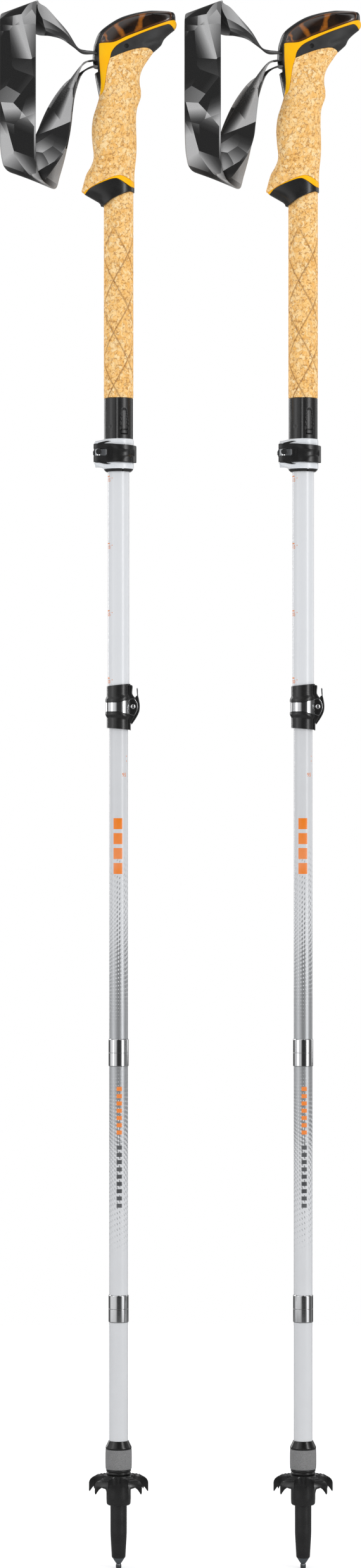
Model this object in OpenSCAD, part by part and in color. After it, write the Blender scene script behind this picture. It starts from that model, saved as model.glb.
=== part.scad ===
// Pair of folding trekking poles with cork grips, a lever clamp, a push-button section lock,
// two fold joints, a sprung tip and a wrist strap. Millimetres, +Z up, poles upright,
// tips on the plane z = 0, origin under the middle of the pair.

/* [Pair] */
// Distance between the two poles' axes
pair_gap = 137.4; // [130:1:200]

/* [Shafts] */
// Outside radius of the handle tube inside the cork
grip_tube_r = 9.0; // [8.9:0.05:9.1]
// Outside radius of the scaled tube below the clamp
scale_tube_r = 8.0; // [7.95:0.01:8.0]
// Outside radius of the three folding sections
section_r = 7.0; // [6.8:0.05:7.0]
// Wall thickness of every shaft
wall = 0.9; // [0.6:0.05:0.92]
// Radial clearance of a tube that slides in another
slide_fit = 0.08; // [0.05:0.01:0.1]

/* [Heights] */
// Height of the lower fold joint
low_seam_z = 193.4; // [185:0.5:200]
// Height of the upper fold joint
top_seam_z = 383.9; // [380:0.5:388]
// Bottom of the section lock
lock_z = 622.8; // [621:0.1:626]
// Bottom of the clamp's shell
clamp_z = 817.9; // [816:0.1:820]

/* [Fold joints] */
// Outside radius of the bright ferrules
ferrule_r = 7.5; // [7.3:0.05:7.6]
// Visible length of one half of a ferrule
ferrule_len = 10.2; // [8:0.1:12]
// Distance from a shaft's axis to the line it folds about
fold_offset = 8.8; // [8.8:0.1:9.4]

/* [Tip] */
// Radius of the elastomer damper
damper_r = 9.85; // [9.5:0.05:10]
// Travel of the sprung tip
damper_travel = 4; // [2:0.5:4]
// Radius of the basket
basket_r = 22.15; // [20:0.05:24]
// Number of lobes on the basket
basket_lobes = 5; // [5:1:5]

/* [Strap] */
// Thickness of the strap's webbing
strap_t = 1.2; // [0.8:0.1:1.4]

/* [Hidden] */
$fn = 64;
// How far a cut runs past the face it opens, and how far solids that join reach into each other
over = 1;
eps = 0.01;
// Length of a cut that passes right across a pole
across = 40;
strap_reach = 88.4;
nose_reach = 43.2;
left_x = (strap_reach - nose_reach - pair_gap) / 2;
SIDES = [["left_", left_x], ["right_", left_x + pair_gap]];
PIECES = [
    "cork_grip", "head_shell", "head_insert", "accent_trim", "ledge_collar", "cork_sleeve",
    "grip_tube", "clamp_sleeve", "clamp_body", "handle_fasteners", "wrist_strap", "clamp_lever",
    "clamp_nut", "scale_tube", "lock_body", "lock_band", "button_rivet", "release_button",
    "top_section", "top_ferrule", "mid_section", "mid_ferrules", "tension_cord", "low_section",
    "low_ferrule", "tip_collar", "damper_ring", "tip_body", "tip_point", "basket"
];

// Colours
BLACK = [0.10, 0.10, 0.11];
CORK = [0.85, 0.66, 0.40];
YELLOW = [1.0, 0.72, 0.08];
WHITE = [0.90, 0.91, 0.92];
STEEL = [0.78, 0.79, 0.81];
GREY = [0.47, 0.47, 0.47];

// Shafts, from the handle down
grip_bore_r = scale_tube_r + slide_fit;
scale_bore_r = section_r + slide_fit;
section_bore_r = section_r - wall;
grip_tube_bottom = clamp_z + 24;
grip_tube_top = 1118;
scale_bottom = lock_z + 9.2;
scale_top = 928;
section_top = 700;

// Grip: side outlines in X and Z, each a run of points along one visible boundary
grip_half_y = 13.8;
head_half_y = 13.6;
core_half_y = 12.3;
nose_half_y = 6;
ledge_back_x = -27.7;
cork_front_x = 26;
head_back_x = -20.6;
core_back_x = -19.3;
core_nose_x = 42.4;
// Levels clear below and above the grip and its head
grip_floor = 1000;
grip_ceiling = 1170;
crown_line = [
    [-14.5, 1094.9], [-17.0, 1108], [-19.2, 1122], [-18.7, 1131], [-17.9, 1135.1], [-15, 1142.5],
    [-8.7, 1148.3], [0.8, 1154.1], [11.3, 1157.5], [21.8, 1159.4], [27.1, 1159.6], [37.6, 1159.1],
    [40.8, 1158.3], [42.1, 1156.2], [42.4, 1152]
];
nose_line = [[42.4, 1152], [43.2, 1149.9], [42.9, 1147.3], [41.6, 1145.2]];
underside_line = [
    [41.6, 1145.2], [37.6, 1142], [33.9, 1138.3], [31.8, 1134.1], [29.7, 1132], [25.8, 1128.6]
];
cork_top_line = [
    [25.8, 1128.6], [23.4, 1129.8], [20.8, 1130.3], [16.6, 1129.9], [8.7, 1128], [0.8, 1125.2],
    [-6.1, 1122.3], [-8.2, 1115.1], [-10.8, 1099.4], [-14.5, 1094.9]
];
cork_front_line = [
    [11.8, 1031], [11.8, 1036], [12, 1040.4], [13, 1049.9], [13.4, 1059.3], [13, 1078.2],
    [13.9, 1087.6], [16.3, 1094.1], [16.6, 1099.9], [15.8, 1104.6], [15.8, 1109.9], [17.6, 1116.2],
    [21.8, 1123], [25.8, 1128.6]
];
cork_back_line = [
    [-14.5, 1094.9], [-15.3, 1092], [-17.2, 1086], [-18.8, 1081], [-19.8, 1074], [-20, 1068],
    [-19.3, 1059], [-18.6, 1053], [-19.1, 1047.5], [-21.5, 1042], [-24.3, 1037], [-27.6, 1025.3]
];
ledge_upper_line = [
    [-27.6, 1025.3], [-25.7, 1024.2], [-14.2, 1030.2], [-2.8, 1034.7], [1.8, 1035.4],
    [6.4, 1033.9], [11.8, 1031]
];
ledge_lower_line = [
    [11.8, 1027.4], [8.6, 1027.8], [0.7, 1032.4], [-2.8, 1033.1], [-8.5, 1031.6], [-20, 1026.8],
    [-25.1, 1022.6]
];
collar_lower_line = [
    [-25.1, 1022.6], [-14.8, 1016.7], [-11.9, 1013.7], [-2.8, 1019], [7.5, 1023.6], [11.8, 1024.2]
];
insert_outline = [
    [-13.4, 1134.2], [-11.3, 1140.6], [-7.1, 1145.3], [0.8, 1150.4], [11.3, 1155], [21.8, 1157.2],
    [32.3, 1158.4], [38.7, 1158.2], [39.4, 1152.3], [37.6, 1151], [27.1, 1146.9], [16.6, 1142.8],
    [6.1, 1138.8], [0.8, 1136.2], [-4.5, 1134.4]
];
trim_outline = [
    [-14.4, 1133.1], [-4.5, 1134.4], [0.8, 1136.2], [6.1, 1138.8], [16.6, 1142.8], [27.1, 1146.9],
    [37.6, 1151], [42.6, 1152], [41.6, 1145.2], [38.2, 1147.9], [35, 1147.5], [27.1, 1144.6],
    [16.6, 1140.4], [6.1, 1135.7], [0.8, 1133], [-2.4, 1130.4], [-5, 1126.7], [-6.1, 1122],
    [-8.2, 1115.1], [-10.8, 1099.4], [-14.5, 1094.9], [-13.4, 1100], [-13.2, 1107],
    [-14.2, 1120.5]
];
strap_pin = [6.1, 1131.2];
strap_pin_r = 1.6;
strap_pivot = [-19, 1124];
slot_depth_x = 8;
slot_half_y = 10.4;
slot_half_z = 13;
collar_inset = 1;
collar_back_x = -25.2;

// Cork sleeve and clamp
sleeve_r = 11;
sleeve_bottom = 870.9;
sleeve_top = 1025;
clamp_h = 22.8;
clamp_r = 11.3;
clamp_bore_r = 9.7;
clamp_sleeve_r = 10.9;
lip_r = 8.6;
lip_h = 1.7;
lever_bottom = clamp_z + 5.5;
lever_h = 14.1;
lever_in_r = 11.6;
lever_out_r = 13.1;
lever_start = 205;
lever_end = 360;
lever_eye = [-14.6, -7];
lever_eye_r = 4;
lever_web = [5.2, 3];
fork_bottom = clamp_z + 10;
fork_h = 5.1;
fork_end_x = -8.35;
pocket_gap = 0.25;
bolt_z = fork_bottom + fork_h / 2;
bolt_r = 1.5;
bolt_head_r = 2.1;
bolt_head_h = 1.2;
barrel_r = 1.55;
pin_fit = 0.05;
ear_x = [-17.6, -8.6];
ear_y = [-2.55, 0.6];
ear_inset_z = 1.5;
nut_y = [0.9, 4.9];
nut_r = 4.6;
nut_grooves = 16;
nut_groove_r = 0.45;
// Flanges that hold the lever's barrel: bottom and thickness of each
clamp_flanges = [[clamp_z + ear_inset_z, 3.75], [lever_bottom + lever_h + pocket_gap, 1.6]];
clamp_flange_at = [-13.9, -5.5];
clamp_flange_r = 4.3;
clamp_flange_box = [-9.7, 6, 12];
clamp_slit = [-20, -1.6, 12, 0.8];

// Section lock
lock_h = 35.3;
lock_r = 8.75;
lock_bulge_r = 9.9;
lock_bulge_h = 2.5;
band_bottom = lock_z + 13.8;
band_h = 7.6;
band_r = 9.35;
rivet = [10.85, lock_z + 17.85];
rivet_r = 1.8;
rivet_pin_r = 1;
rivet_head = 1.2;
ear_in_y = 2.6;
ear_t = 0.7;
cheek_y = 4.5;
band_gap_y = 4.5;
button_half_y = 2.3;

// Fold joints
part_gap = 0.2;
spigot_h = 4.5;
spigot_r = 5;
spigot_tip_r = 2.3;
spigot_gap = 0.3;
insert_len = 10;
cord_r = 1.4;
cord_bore_r = 1.9;
knot_r = 3;

// Tip
collar_bottom = 89;
collar_top = 94.9;
collar_r = 9.65;
collar_lap = 2;
flange_top = 73.9;
flange_bottom = 70.2;
flange_r = 9.25;
flange_groove = [1.6, 0.6, 0.7];
stem_r = 5;
stem_head_r = 5.9;
stem_head_h = 3;
hub_r = 9.1;
hub_bottom = 47.3;
hub_bore_r = 6.6;
hub_gap = 0.3;
thread_r = 6.5;
tip_r = 6.15;
taper_top = 26.3;
taper_r = 5.1;
point_top = 8.2;
point_r = 4.3;
shank_r = 2.5;
shank_h = 12;
carbide_r = 1.95;
carbide_h = 3.6;
rim_top = 68.3;
rim_bottom = 62.5;
claw_bottom = 57.4;
claw_angle = 24;
claw_inset = 3.3;
claw_tip_r = 0.7;
claw_root_r = 2.5;
notch_r = section_r + 0.4;

// Strap: edge points of each station along the webbing, [upper or right edge, lower or left edge]
loop_route = [
    [[-13, 8, 1129.5], [-13, -8, 1127]],
    [[-19.5, 9.5, 1131], [-20.5, -9.5, 1126]],
    [[-25, 11, 1132], [-27, -12, 1126]],
    [[-31, 10, 1134], [-33, -13, 1130.5]],
    [[-38, 8, 1145], [-42, -12, 1136.5]],
    [[-45.5, 7, 1154], [-51, -8, 1139.5]],
    [[-53.5, 7, 1163], [-61, 0, 1142]],
    [[-58, 7, 1166], [-75, 5, 1150]],
    [[-59.5, 5, 1166.8], [-86, 6, 1156]],
    [[-60, 0, 1167.2], [-87.5, 0, 1157]],
    [[-60.8, -5, 1164], [-88.2, -5, 1153]],
    [[-61.3, -7, 1152], [-88.4, -7, 1146]],
    [[-61.3, -8, 1130], [-88.4, -8, 1126]],
    [[-61.3, -9, 1095], [-88.4, -9, 1090]],
    [[-61.3, -9, 1060], [-88, -9, 1060]],
    [[-60.5, -8, 1043], [-86.5, -8, 1047]],
    [[-57.5, -5, 1034], [-84.5, -5, 1042]],
    [[-53, 1, 1030.2], [-80.5, 1, 1040]],
    [[-47, 7, 1028.4], [-75, 8, 1042]],
    [[-44, 10, 1038], [-70, 12, 1048]],
    [[-40, 12, 1053], [-65, 15, 1060]],
    [[-36, 12, 1073], [-59, 17, 1078]],
    [[-33.7, 9, 1092], [-51, 19, 1095]],
    [[-31.4, 2, 1102], [-40.5, 20, 1109]],
    [[-27, -6, 1112], [-31, 17, 1115]],
    [[-19.5, -9.5, 1116.5], [-21, 9.5, 1119]],
    [[-13, -8, 1117], [-13, 8, 1119]]
];
tail_route = [
    [[-13, 8, 1123.5], [-13, -8, 1121.5]],
    [[-19.5, 9.5, 1124.5], [-20, -9.5, 1120.5]],
    [[-26.7, 9, 1121.5], [-26.5, -13, 1117.5]],
    [[-37, 5, 1108], [-31.5, -14.5, 1104]],
    [[-46.5, 1, 1094], [-34, -14.5, 1088]],
    [[-55, -2, 1080], [-35.6, -14, 1073]],
    [[-61, -4.5, 1068], [-37, -12, 1063]],
    [[-66, -5, 1056], [-41, -9, 1052]],
    [[-70, -5, 1046], [-49, -7, 1040]],
    [[-71.5, -2, 1040.5], [-54, -2.5, 1034.5]],
    [[-71, 2, 1042], [-53, 2, 1037]],
    [[-68, 4, 1051], [-49, 5, 1047]]
];

// Geometry helpers

module side_solid(outline, half_y) {
    rotate([90, 0, 0])
        translate([0, 0, -half_y])
            linear_extrude(2 * half_y)
                polygon(outline);
}

module tube(r, bore, bottom, top) {
    translate([0, 0, bottom])
        difference() {
            cylinder(r = r, h = top - bottom);
            translate([0, 0, -over]) cylinder(r = bore, h = top - bottom + 2 * over);
        }
}

// Cylinder along Y right across a pole, at a place in X and Z
module cross_hole(at, r) {
    translate([at[0], across / 2, at[1]])
        rotate([90, 0, 0])
            cylinder(r = r, h = across);
}

// Vertical prism with round ends, from one X to another
module round_ended(x_low, x_high, half_y, bottom, top) {
    translate([0, 0, bottom])
        linear_extrude(top - bottom)
            union() {
                translate([x_low + half_y, 0]) circle(r = half_y);
                translate([x_high - half_y, 0]) circle(r = half_y);
                translate([x_low + half_y, -half_y])
                    square([x_high - x_low - 2 * half_y, 2 * half_y]);
            }
}

function unit(v) = v / norm(v);

function reversed(v) = [for (i = [len(v) - 1:-1:0]) v[i]];

function middle(station) = (station[0] + station[1]) / 2;

// Unit normal of the webbing at station i, from its width and its direction of travel
function webbing_normal(route, i) =
    let (
        last = len(route) - 1,
        along = middle(route[min(i + 1, last)]) - middle(route[max(i - 1, 0)]),
        across = route[i][0] - route[i][1]
    )
    unit(cross(across, along));

function webbing_ring(route, i) =
    let (
        n = webbing_normal(route, i) * strap_t / 2,
        a = route[i][0],
        b = route[i][1]
    )
    [a + n, b + n, b - n, a - n];

// Flat webbing through the stations of a route, as one closed solid
module webbing(route) {
    count = len(route);
    rings = [for (i = [0:count - 1]) webbing_ring(route, i)];
    points = [for (ring = rings) for (p = ring) p];
    walls = [
        for (i = [0:count - 2]) for (k = [0:3])
            let (a = 4 * i + k, b = 4 * i + (k + 1) % 4)
            for (triangle = [[a, b, b + 4], [a, b + 4, a + 4]]) triangle
    ];
    last = 4 * (count - 1);
    ends = [[0, 3, 2], [0, 2, 1], [last, last + 1, last + 2], [last, last + 2, last + 3]];
    polyhedron(points = points, faces = concat(walls, ends), convexity = 10);
}

// Handle

module grip_bore() {
    translate([0, 0, grip_floor]) cylinder(r = grip_tube_r, h = grip_tube_top - grip_floor);
}

module grip_limit() {
    round_ended(ledge_back_x, cork_front_x, grip_half_y, grip_floor, grip_ceiling);
}

module core_limit() {
    round_ended(core_back_x, core_nose_x, core_half_y, grip_floor, grip_ceiling);
}

module cork_grip() {
    outline = concat(cork_front_line, cork_top_line, cork_back_line, ledge_upper_line);
    color(CORK)
        difference() {
            intersection() {
                side_solid(outline, grip_half_y);
                grip_limit();
            }
            grip_bore();
        }
}

module head_shell() {
    outline = concat(crown_line, [underside_line[0]], underside_line, cork_top_line);
    color(BLACK)
        difference() {
            intersection() {
                side_solid(outline, core_half_y);
                core_limit();
            }
            grip_bore();
            translate([strap_pivot[0] - slot_depth_x, -slot_half_y, strap_pivot[1] - slot_half_z])
                cube([2 * slot_depth_x, 2 * slot_half_y, 2 * slot_half_z]);
            cross_hole(strap_pin, strap_pin_r);
        }
}

// The part of an outline's prism that stands proud of the head's core
module cheek(outline) {
    difference() {
        intersection() {
            side_solid(outline, head_half_y);
            round_ended(head_back_x, nose_reach, head_half_y, grip_floor, grip_ceiling);
        }
        core_limit();
    }
}

module head_insert() {
    color("saddlebrown") cheek(insert_outline);
}

module accent_trim() {
    color(YELLOW) {
        cheek(trim_outline);
        difference() {
            side_solid(nose_line, nose_half_y);
            core_limit();
        }
        difference() {
            intersection() {
                side_solid(concat(ledge_upper_line, ledge_lower_line), grip_half_y);
                grip_limit();
            }
            grip_bore();
        }
    }
}

module ledge_collar() {
    half_y = grip_half_y - collar_inset;
    color(BLACK)
        difference() {
            intersection() {
                side_solid(concat(reversed(ledge_lower_line), reversed(collar_lower_line)), half_y);
                round_ended(collar_back_x, cork_front_x, half_y, grip_floor, grip_ceiling);
            }
            grip_bore();
        }
}

module cork_sleeve() {
    back = collar_lower_line[0];
    front = collar_lower_line[len(collar_lower_line) - 1];
    cut = concat(collar_lower_line, [
        [across, front[1]], [across, grip_ceiling], [-across, grip_ceiling], [-across, back[1]]
    ]);
    color(CORK)
        difference() {
            tube(sleeve_r, grip_tube_r, sleeve_bottom, sleeve_top);
            side_solid(cut, across);
        }
}

module grip_tube() {
    color(GREY) tube(grip_tube_r, grip_bore_r, grip_tube_bottom, grip_tube_top);
}

// Clamp

module clamp_sleeve() {
    shell_top = clamp_z + clamp_h;
    color(BLACK)
        difference() {
            union() {
                translate([0, 0, clamp_z]) cylinder(r = clamp_bore_r, h = clamp_h + over);
                translate([0, 0, shell_top])
                    cylinder(r = clamp_sleeve_r, h = sleeve_bottom - shell_top);
                translate([0, 0, clamp_z - lip_h])
                    cylinder(r1 = lip_r, r2 = clamp_sleeve_r, h = lip_h);
            }
            translate([0, 0, clamp_z - lip_h - over])
                cylinder(r = grip_bore_r, h = grip_tube_bottom - clamp_z + lip_h + 2 * over);
            translate([0, 0, grip_tube_bottom])
                cylinder(r = grip_tube_r, h = sleeve_bottom - grip_tube_bottom + over);
        }
}

module clamp_body() {
    color(WHITE)
        difference() {
            union() {
                translate([0, 0, clamp_z]) cylinder(r = clamp_r, h = clamp_h);
                for (flange = clamp_flanges) translate([0, 0, flange[0]]) {
                    translate(concat(clamp_flange_at, [0]))
                        cylinder(r = clamp_flange_r, h = flange[1]);
                    translate([clamp_flange_at[0], clamp_flange_box[0], 0])
                        cube([clamp_flange_box[1], clamp_flange_box[2], flange[1]]);
                }
                translate([ear_x[0], ear_y[0], clamp_z + ear_inset_z])
                    cube([ear_x[1] - ear_x[0], ear_y[1] - ear_y[0], clamp_h - 2 * ear_inset_z]);
            }
            translate([0, 0, clamp_z - over]) cylinder(r = clamp_bore_r, h = clamp_h + 2 * over);
            translate([lever_eye[0], lever_eye[1], lever_bottom - pocket_gap])
                cylinder(r = lever_eye_r + pocket_gap, h = lever_h + 2 * pocket_gap);
            // Recess that the nut turns in
            translate([lever_eye[0], nut_y[1] + pocket_gap, bolt_z])
                rotate([90, 0, 0])
                    cylinder(r = nut_r + pocket_gap, h = nut_y[1] - ear_y[1] + pocket_gap);
            cross_hole([lever_eye[0], bolt_z], bolt_r);
            translate([clamp_slit[0], clamp_slit[1], clamp_z - over])
                cube([clamp_slit[2], clamp_slit[3], clamp_h + 2 * over]);
        }
}

module handle_fasteners() {
    bolt_end_y = nut_y[1] + 2;
    head_y = lever_eye[1] - 2 * bolt_head_r + over;
    color(STEEL) {
        translate([strap_pin[0], core_half_y - bolt_head_h, strap_pin[1]])
            rotate([90, 0, 0])
                cylinder(r = strap_pin_r, h = 2 * (core_half_y - bolt_head_h));
        translate([lever_eye[0], lever_eye[1], lever_bottom + over])
            cylinder(r = barrel_r, h = lever_h - 2 * over);
        translate([lever_eye[0], bolt_end_y, bolt_z])
            rotate([90, 0, 0]) cylinder(r = bolt_r, h = bolt_end_y - head_y);
        translate([lever_eye[0], head_y, bolt_z])
            rotate([90, 0, 0]) cylinder(r = bolt_head_r, h = bolt_head_h);
    }
}

module clamp_lever() {
    wedge = concat([[0, 0]], [
        for (angle = [lever_start, 245, 285, 325, lever_end]) across * [cos(angle), sin(angle)]
    ]);
    color(BLACK)
        difference() {
            union() {
                intersection() {
                    tube(lever_out_r, lever_in_r, lever_bottom, lever_bottom + lever_h);
                    translate([0, 0, lever_bottom]) linear_extrude(lever_h) polygon(wedge);
                }
                translate([lever_eye[0], lever_eye[1], lever_bottom])
                    cylinder(r = lever_eye_r, h = lever_h);
                translate([lever_eye[0], lever_eye[1] - lever_eye_r, lever_bottom])
                    cube([lever_web[0], lever_web[1], lever_h]);
            }
            translate([lever_eye[0], lever_eye[1], lever_bottom - over])
                cylinder(r = barrel_r + pin_fit, h = lever_h + 2 * over);
            translate([-across, -across, fork_bottom])
                cube([across + fork_end_x, 2 * across, fork_h]);
            translate([0, 0, lever_bottom - over]) cylinder(r = lever_in_r, h = lever_h + 2 * over);
        }
}

module clamp_nut() {
    thickness = nut_y[1] - nut_y[0];
    color(STEEL)
        translate([lever_eye[0], nut_y[1], bolt_z])
            rotate([90, 0, 0])
                difference() {
                    cylinder(r = nut_r, h = thickness);
                    translate([0, 0, -over])
                        cylinder(r = bolt_r + pin_fit, h = thickness + 2 * over);
                    for (i = [0:nut_grooves - 1])
                        rotate([0, 0, i * 360 / nut_grooves])
                            translate([nut_r + nut_groove_r / 3, 0, -over])
                                cylinder(r = nut_groove_r, h = thickness + 2 * over, $fn = 16);
                }
}

// Scaled tube and section lock

module scale_tube() {
    color(WHITE) tube(scale_tube_r, scale_bore_r, scale_bottom, scale_top);
}

module lock_body() {
    // Side outline of the housing that carries the button
    housing = [
        [4, lock_z + 34], [10.3, lock_z + 33.7], [10, lock_z + 27.6], [12.6, lock_z + 24.3],
        [13.2, lock_z + 18], [12.2, lock_z + 11.5], [8.4, lock_z + 4.4], [4, lock_z + 3]
    ];
    top_cut = [
        [-across, lock_z + 30.0], [across, lock_z + 38.2], [across, lock_z + 60],
        [-across, lock_z + 60]
    ];
    bottom_cut = [
        [-across, lock_z + 4.5], [across, lock_z - 1.7], [across, lock_z - 20],
        [-across, lock_z - 20]
    ];
    color(BLACK)
        difference() {
            union() {
                translate([0, 0, lock_z]) cylinder(r = lock_r, h = lock_h + 2);
                for (z = [band_bottom - lock_bulge_h, band_bottom + band_h])
                    translate([0, 0, z]) cylinder(r = lock_bulge_r, h = lock_bulge_h);
                side_solid(housing, cheek_y);
            }
            translate([0, 0, scale_bottom]) cylinder(r = scale_tube_r, h = lock_h);
            translate([0, 0, lock_z - over]) cylinder(r = scale_bore_r, h = lock_h);
            side_solid(top_cut, across);
            side_solid(bottom_cut, across);
            // Groove for the band and the slot that the button lies in
            difference() {
                translate([0, 0, band_bottom]) cylinder(r = across, h = band_h);
                translate([0, 0, band_bottom - over]) cylinder(r = lock_r, h = band_h + 2 * over);
            }
            translate([lock_r + 0.05, -ear_in_y, lock_z]) cube([across, 2 * ear_in_y, 2 * lock_h]);
        }
}

module lock_band() {
    ear = [
        [lock_r - 2, band_bottom - 1.4], [rivet[0] + 1.2, band_bottom - 2],
        [rivet[0] + 3, band_bottom + 1], [rivet[0] + 3.3, rivet[1]],
        [rivet[0] + 2.4, band_bottom + band_h], [rivet[0] + 1, band_bottom + band_h + 1.2],
        [lock_r - 2, band_bottom + band_h + 0.8]
    ];
    color(STEEL) {
        difference() {
            tube(band_r, lock_r, band_bottom, band_bottom + band_h);
            translate([0, -band_gap_y, band_bottom - over])
                cube([across, 2 * band_gap_y, band_h + 2 * over]);
        }
        for (side = [-1, 1])
            difference() {
                translate([0, side * (cheek_y + ear_t / 2), 0]) side_solid(ear, ear_t / 2);
                translate([0, 0, lock_z]) cylinder(r = lock_bulge_r, h = lock_h);
                cross_hole(rivet, rivet_r);
            }
    }
}

module button_rivet() {
    half = cheek_y + rivet_head;
    color(STEEL)
        translate([rivet[0], half, rivet[1]])
            rotate([90, 0, 0]) cylinder(r = rivet_pin_r, h = 2 * half);
}

module release_button() {
    outline = [
        [13.1, lock_z + 31.5], [14.3, lock_z + 31.6], [14.9, lock_z + 25], [15.8, lock_z + 19.5],
        [15.3, lock_z + 14.5], [12.9, lock_z + 9.6], [9.4, lock_z + 4.6], [9.2, lock_z + 8.2],
        [9.6, lock_z + 14], [9.3, lock_z + 21.5], [12.5, lock_z + 25.2]
    ];
    color(BLACK)
        difference() {
            side_solid(outline, button_half_y);
            cross_hole(rivet, rivet_pin_r + pin_fit);
        }
}

// Folding sections

module top_section() {
    color(WHITE) tube(section_r, section_bore_r, top_seam_z + ferrule_len, section_top);
}

module mid_section() {
    color(WHITE)
        tube(section_r, section_bore_r, low_seam_z + ferrule_len, top_seam_z - ferrule_len);
}

module low_section() {
    color(WHITE) tube(section_r, section_bore_r, collar_bottom + 2, low_seam_z - ferrule_len);
}

// Lower end of a shaft: a ring, a sleeve pressed into the shaft and a conical socket
module socket_ferrule(seam_z) {
    length = ferrule_len + insert_len;
    color(STEEL)
        translate([0, 0, seam_z])
            difference() {
                union() {
                    cylinder(r = ferrule_r, h = ferrule_len);
                    cylinder(r = section_bore_r, h = length);
                }
                translate([0, 0, -over]) cylinder(r = cord_bore_r, h = length + 2 * over);
                translate([0, 0, -eps])
                    cylinder(
                        r1 = spigot_r + spigot_gap, r2 = spigot_tip_r + spigot_gap,
                        h = spigot_h + 2 * spigot_gap
                    );
            }
}

// Upper end of a shaft: a ring, a sleeve pressed into the shaft and a conical spigot
module spigot_ferrule(seam_z) {
    bottom = seam_z - ferrule_len - insert_len;
    color(STEEL)
        difference() {
            union() {
                translate([0, 0, seam_z - ferrule_len])
                    cylinder(r = ferrule_r, h = ferrule_len - part_gap);
                translate([0, 0, bottom]) cylinder(r = section_bore_r, h = insert_len + over);
                translate([0, 0, seam_z - part_gap])
                    cylinder(r1 = spigot_r, r2 = spigot_tip_r, h = spigot_h);
            }
            translate([0, 0, bottom - over])
                cylinder(r = cord_bore_r, h = seam_z - bottom + spigot_h + 2 * over);
        }
}

module top_ferrule() {
    socket_ferrule(top_seam_z);
}

module mid_ferrules() {
    spigot_ferrule(top_seam_z);
    socket_ferrule(low_seam_z);
}

module low_ferrule() {
    spigot_ferrule(low_seam_z);
}

// Runs through both fold joints, held by a knot above the upper one and an anchor near the tip
module tension_cord() {
    anchor_h = 8;
    anchor_z = collar_bottom + 17;
    anchor_fit = 0.1;
    knot_z = top_seam_z + ferrule_len + insert_len + knot_r;
    color("dimgray") {
        translate([0, 0, anchor_z]) cylinder(r = cord_r, h = knot_z - anchor_z);
        translate([0, 0, knot_z]) sphere(r = knot_r);
        translate([0, 0, anchor_z]) cylinder(r = section_bore_r - anchor_fit, h = anchor_h);
    }
}

// Tip

module tip_collar() {
    color(BLACK)
        difference() {
            translate([0, 0, collar_bottom])
                cylinder(r1 = collar_r, r2 = section_r + 0.25, h = collar_top - collar_bottom);
            translate([0, 0, collar_bottom + collar_lap]) cylinder(r = section_r, h = collar_top);
            translate([0, 0, collar_bottom - over])
                cylinder(r = stem_r + slide_fit, h = collar_top);
        }
}

module damper_ring() {
    color(GREY) tube(damper_r, stem_r + 2 * slide_fit, flange_top, collar_bottom);
}

module tip_body() {
    stem_head_z = collar_bottom + collar_lap + 0.8;
    color(BLACK)
        difference() {
            union() {
                translate([0, 0, flange_top - over])
                    cylinder(r = stem_r, h = stem_head_z - flange_top + 2 * over);
                translate([0, 0, stem_head_z]) cylinder(r = stem_head_r, h = stem_head_h);
                translate([0, 0, flange_bottom])
                    cylinder(r = flange_r, h = flange_top - flange_bottom);
                translate([0, 0, hub_bottom - eps])
                    cylinder(r = thread_r, h = flange_bottom - hub_bottom + over);
                translate([0, 0, taper_top]) cylinder(r = tip_r, h = hub_bottom - taper_top);
                translate([0, 0, point_top])
                    cylinder(r1 = taper_r, r2 = tip_r, h = taper_top - point_top);
            }
            translate([0, 0, point_top - over]) cylinder(r = shank_r, h = shank_h + over);
            difference() {
                translate([0, 0, flange_bottom + flange_groove[0]])
                    cylinder(r = across, h = flange_groove[1]);
                translate([0, 0, flange_bottom])
                    cylinder(r = flange_r - flange_groove[2], h = flange_top);
            }
        }
}

module tip_point() {
    color(STEEL) {
        cylinder(r = carbide_r, h = carbide_h);
        translate([0, 0, carbide_h])
            cylinder(r1 = carbide_r, r2 = point_r, h = point_top - carbide_h);
        translate([0, 0, point_top - eps]) cylinder(r = shank_r, h = shank_h);
    }
}

module basket() {
    top = flange_bottom - hub_gap;
    // Section of the dish: radius and height, from the hub out to the rim
    dish = [
        [hub_r - over, top - 3.7], [hub_r - over, top], [hub_r + 1.5, top], [18.5, rim_top],
        [basket_r - 0.5, rim_top - 1.2], [basket_r, rim_bottom], [basket_r - 2.2, rim_bottom],
        [18, rim_top - 2.4], [hub_r, top - 2.7]
    ];
    notch_x = 2 * fold_offset;
    notch_bottom = claw_bottom - 5;
    notch_h = 2 * (top - notch_bottom);
    claw_h = rim_top - 1.5 - claw_bottom;
    color(BLACK)
        difference() {
            union() {
                translate([0, 0, hub_bottom]) cylinder(r = hub_r, h = top - hub_bottom);
                rotate_extrude() polygon(dish);
                for (i = [0:basket_lobes - 1], side = [-1, 1])
                    rotate([0, 0, -90 + i * 360 / basket_lobes + side * claw_angle])
                        translate([basket_r - claw_inset, 0, claw_bottom])
                            cylinder(r1 = claw_tip_r, r2 = claw_root_r, h = claw_h, $fn = 24);
            }
            translate([0, 0, hub_bottom - over]) cylinder(r = hub_bore_r, h = across);
            for (i = [0:basket_lobes - 1])
                rotate([0, 0, -90 + i * 360 / basket_lobes]) {
                    translate([notch_x, 0, notch_bottom]) cylinder(r = notch_r, h = notch_h);
                    translate([notch_x, -notch_r, notch_bottom])
                        cube([across, 2 * notch_r, notch_h]);
                }
        }
}

// Wrist strap, with both ends in the slot at the back of the head

module wrist_strap() {
    color(BLACK) {
        webbing(loop_route);
        webbing(tail_route);
    }
}

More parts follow.
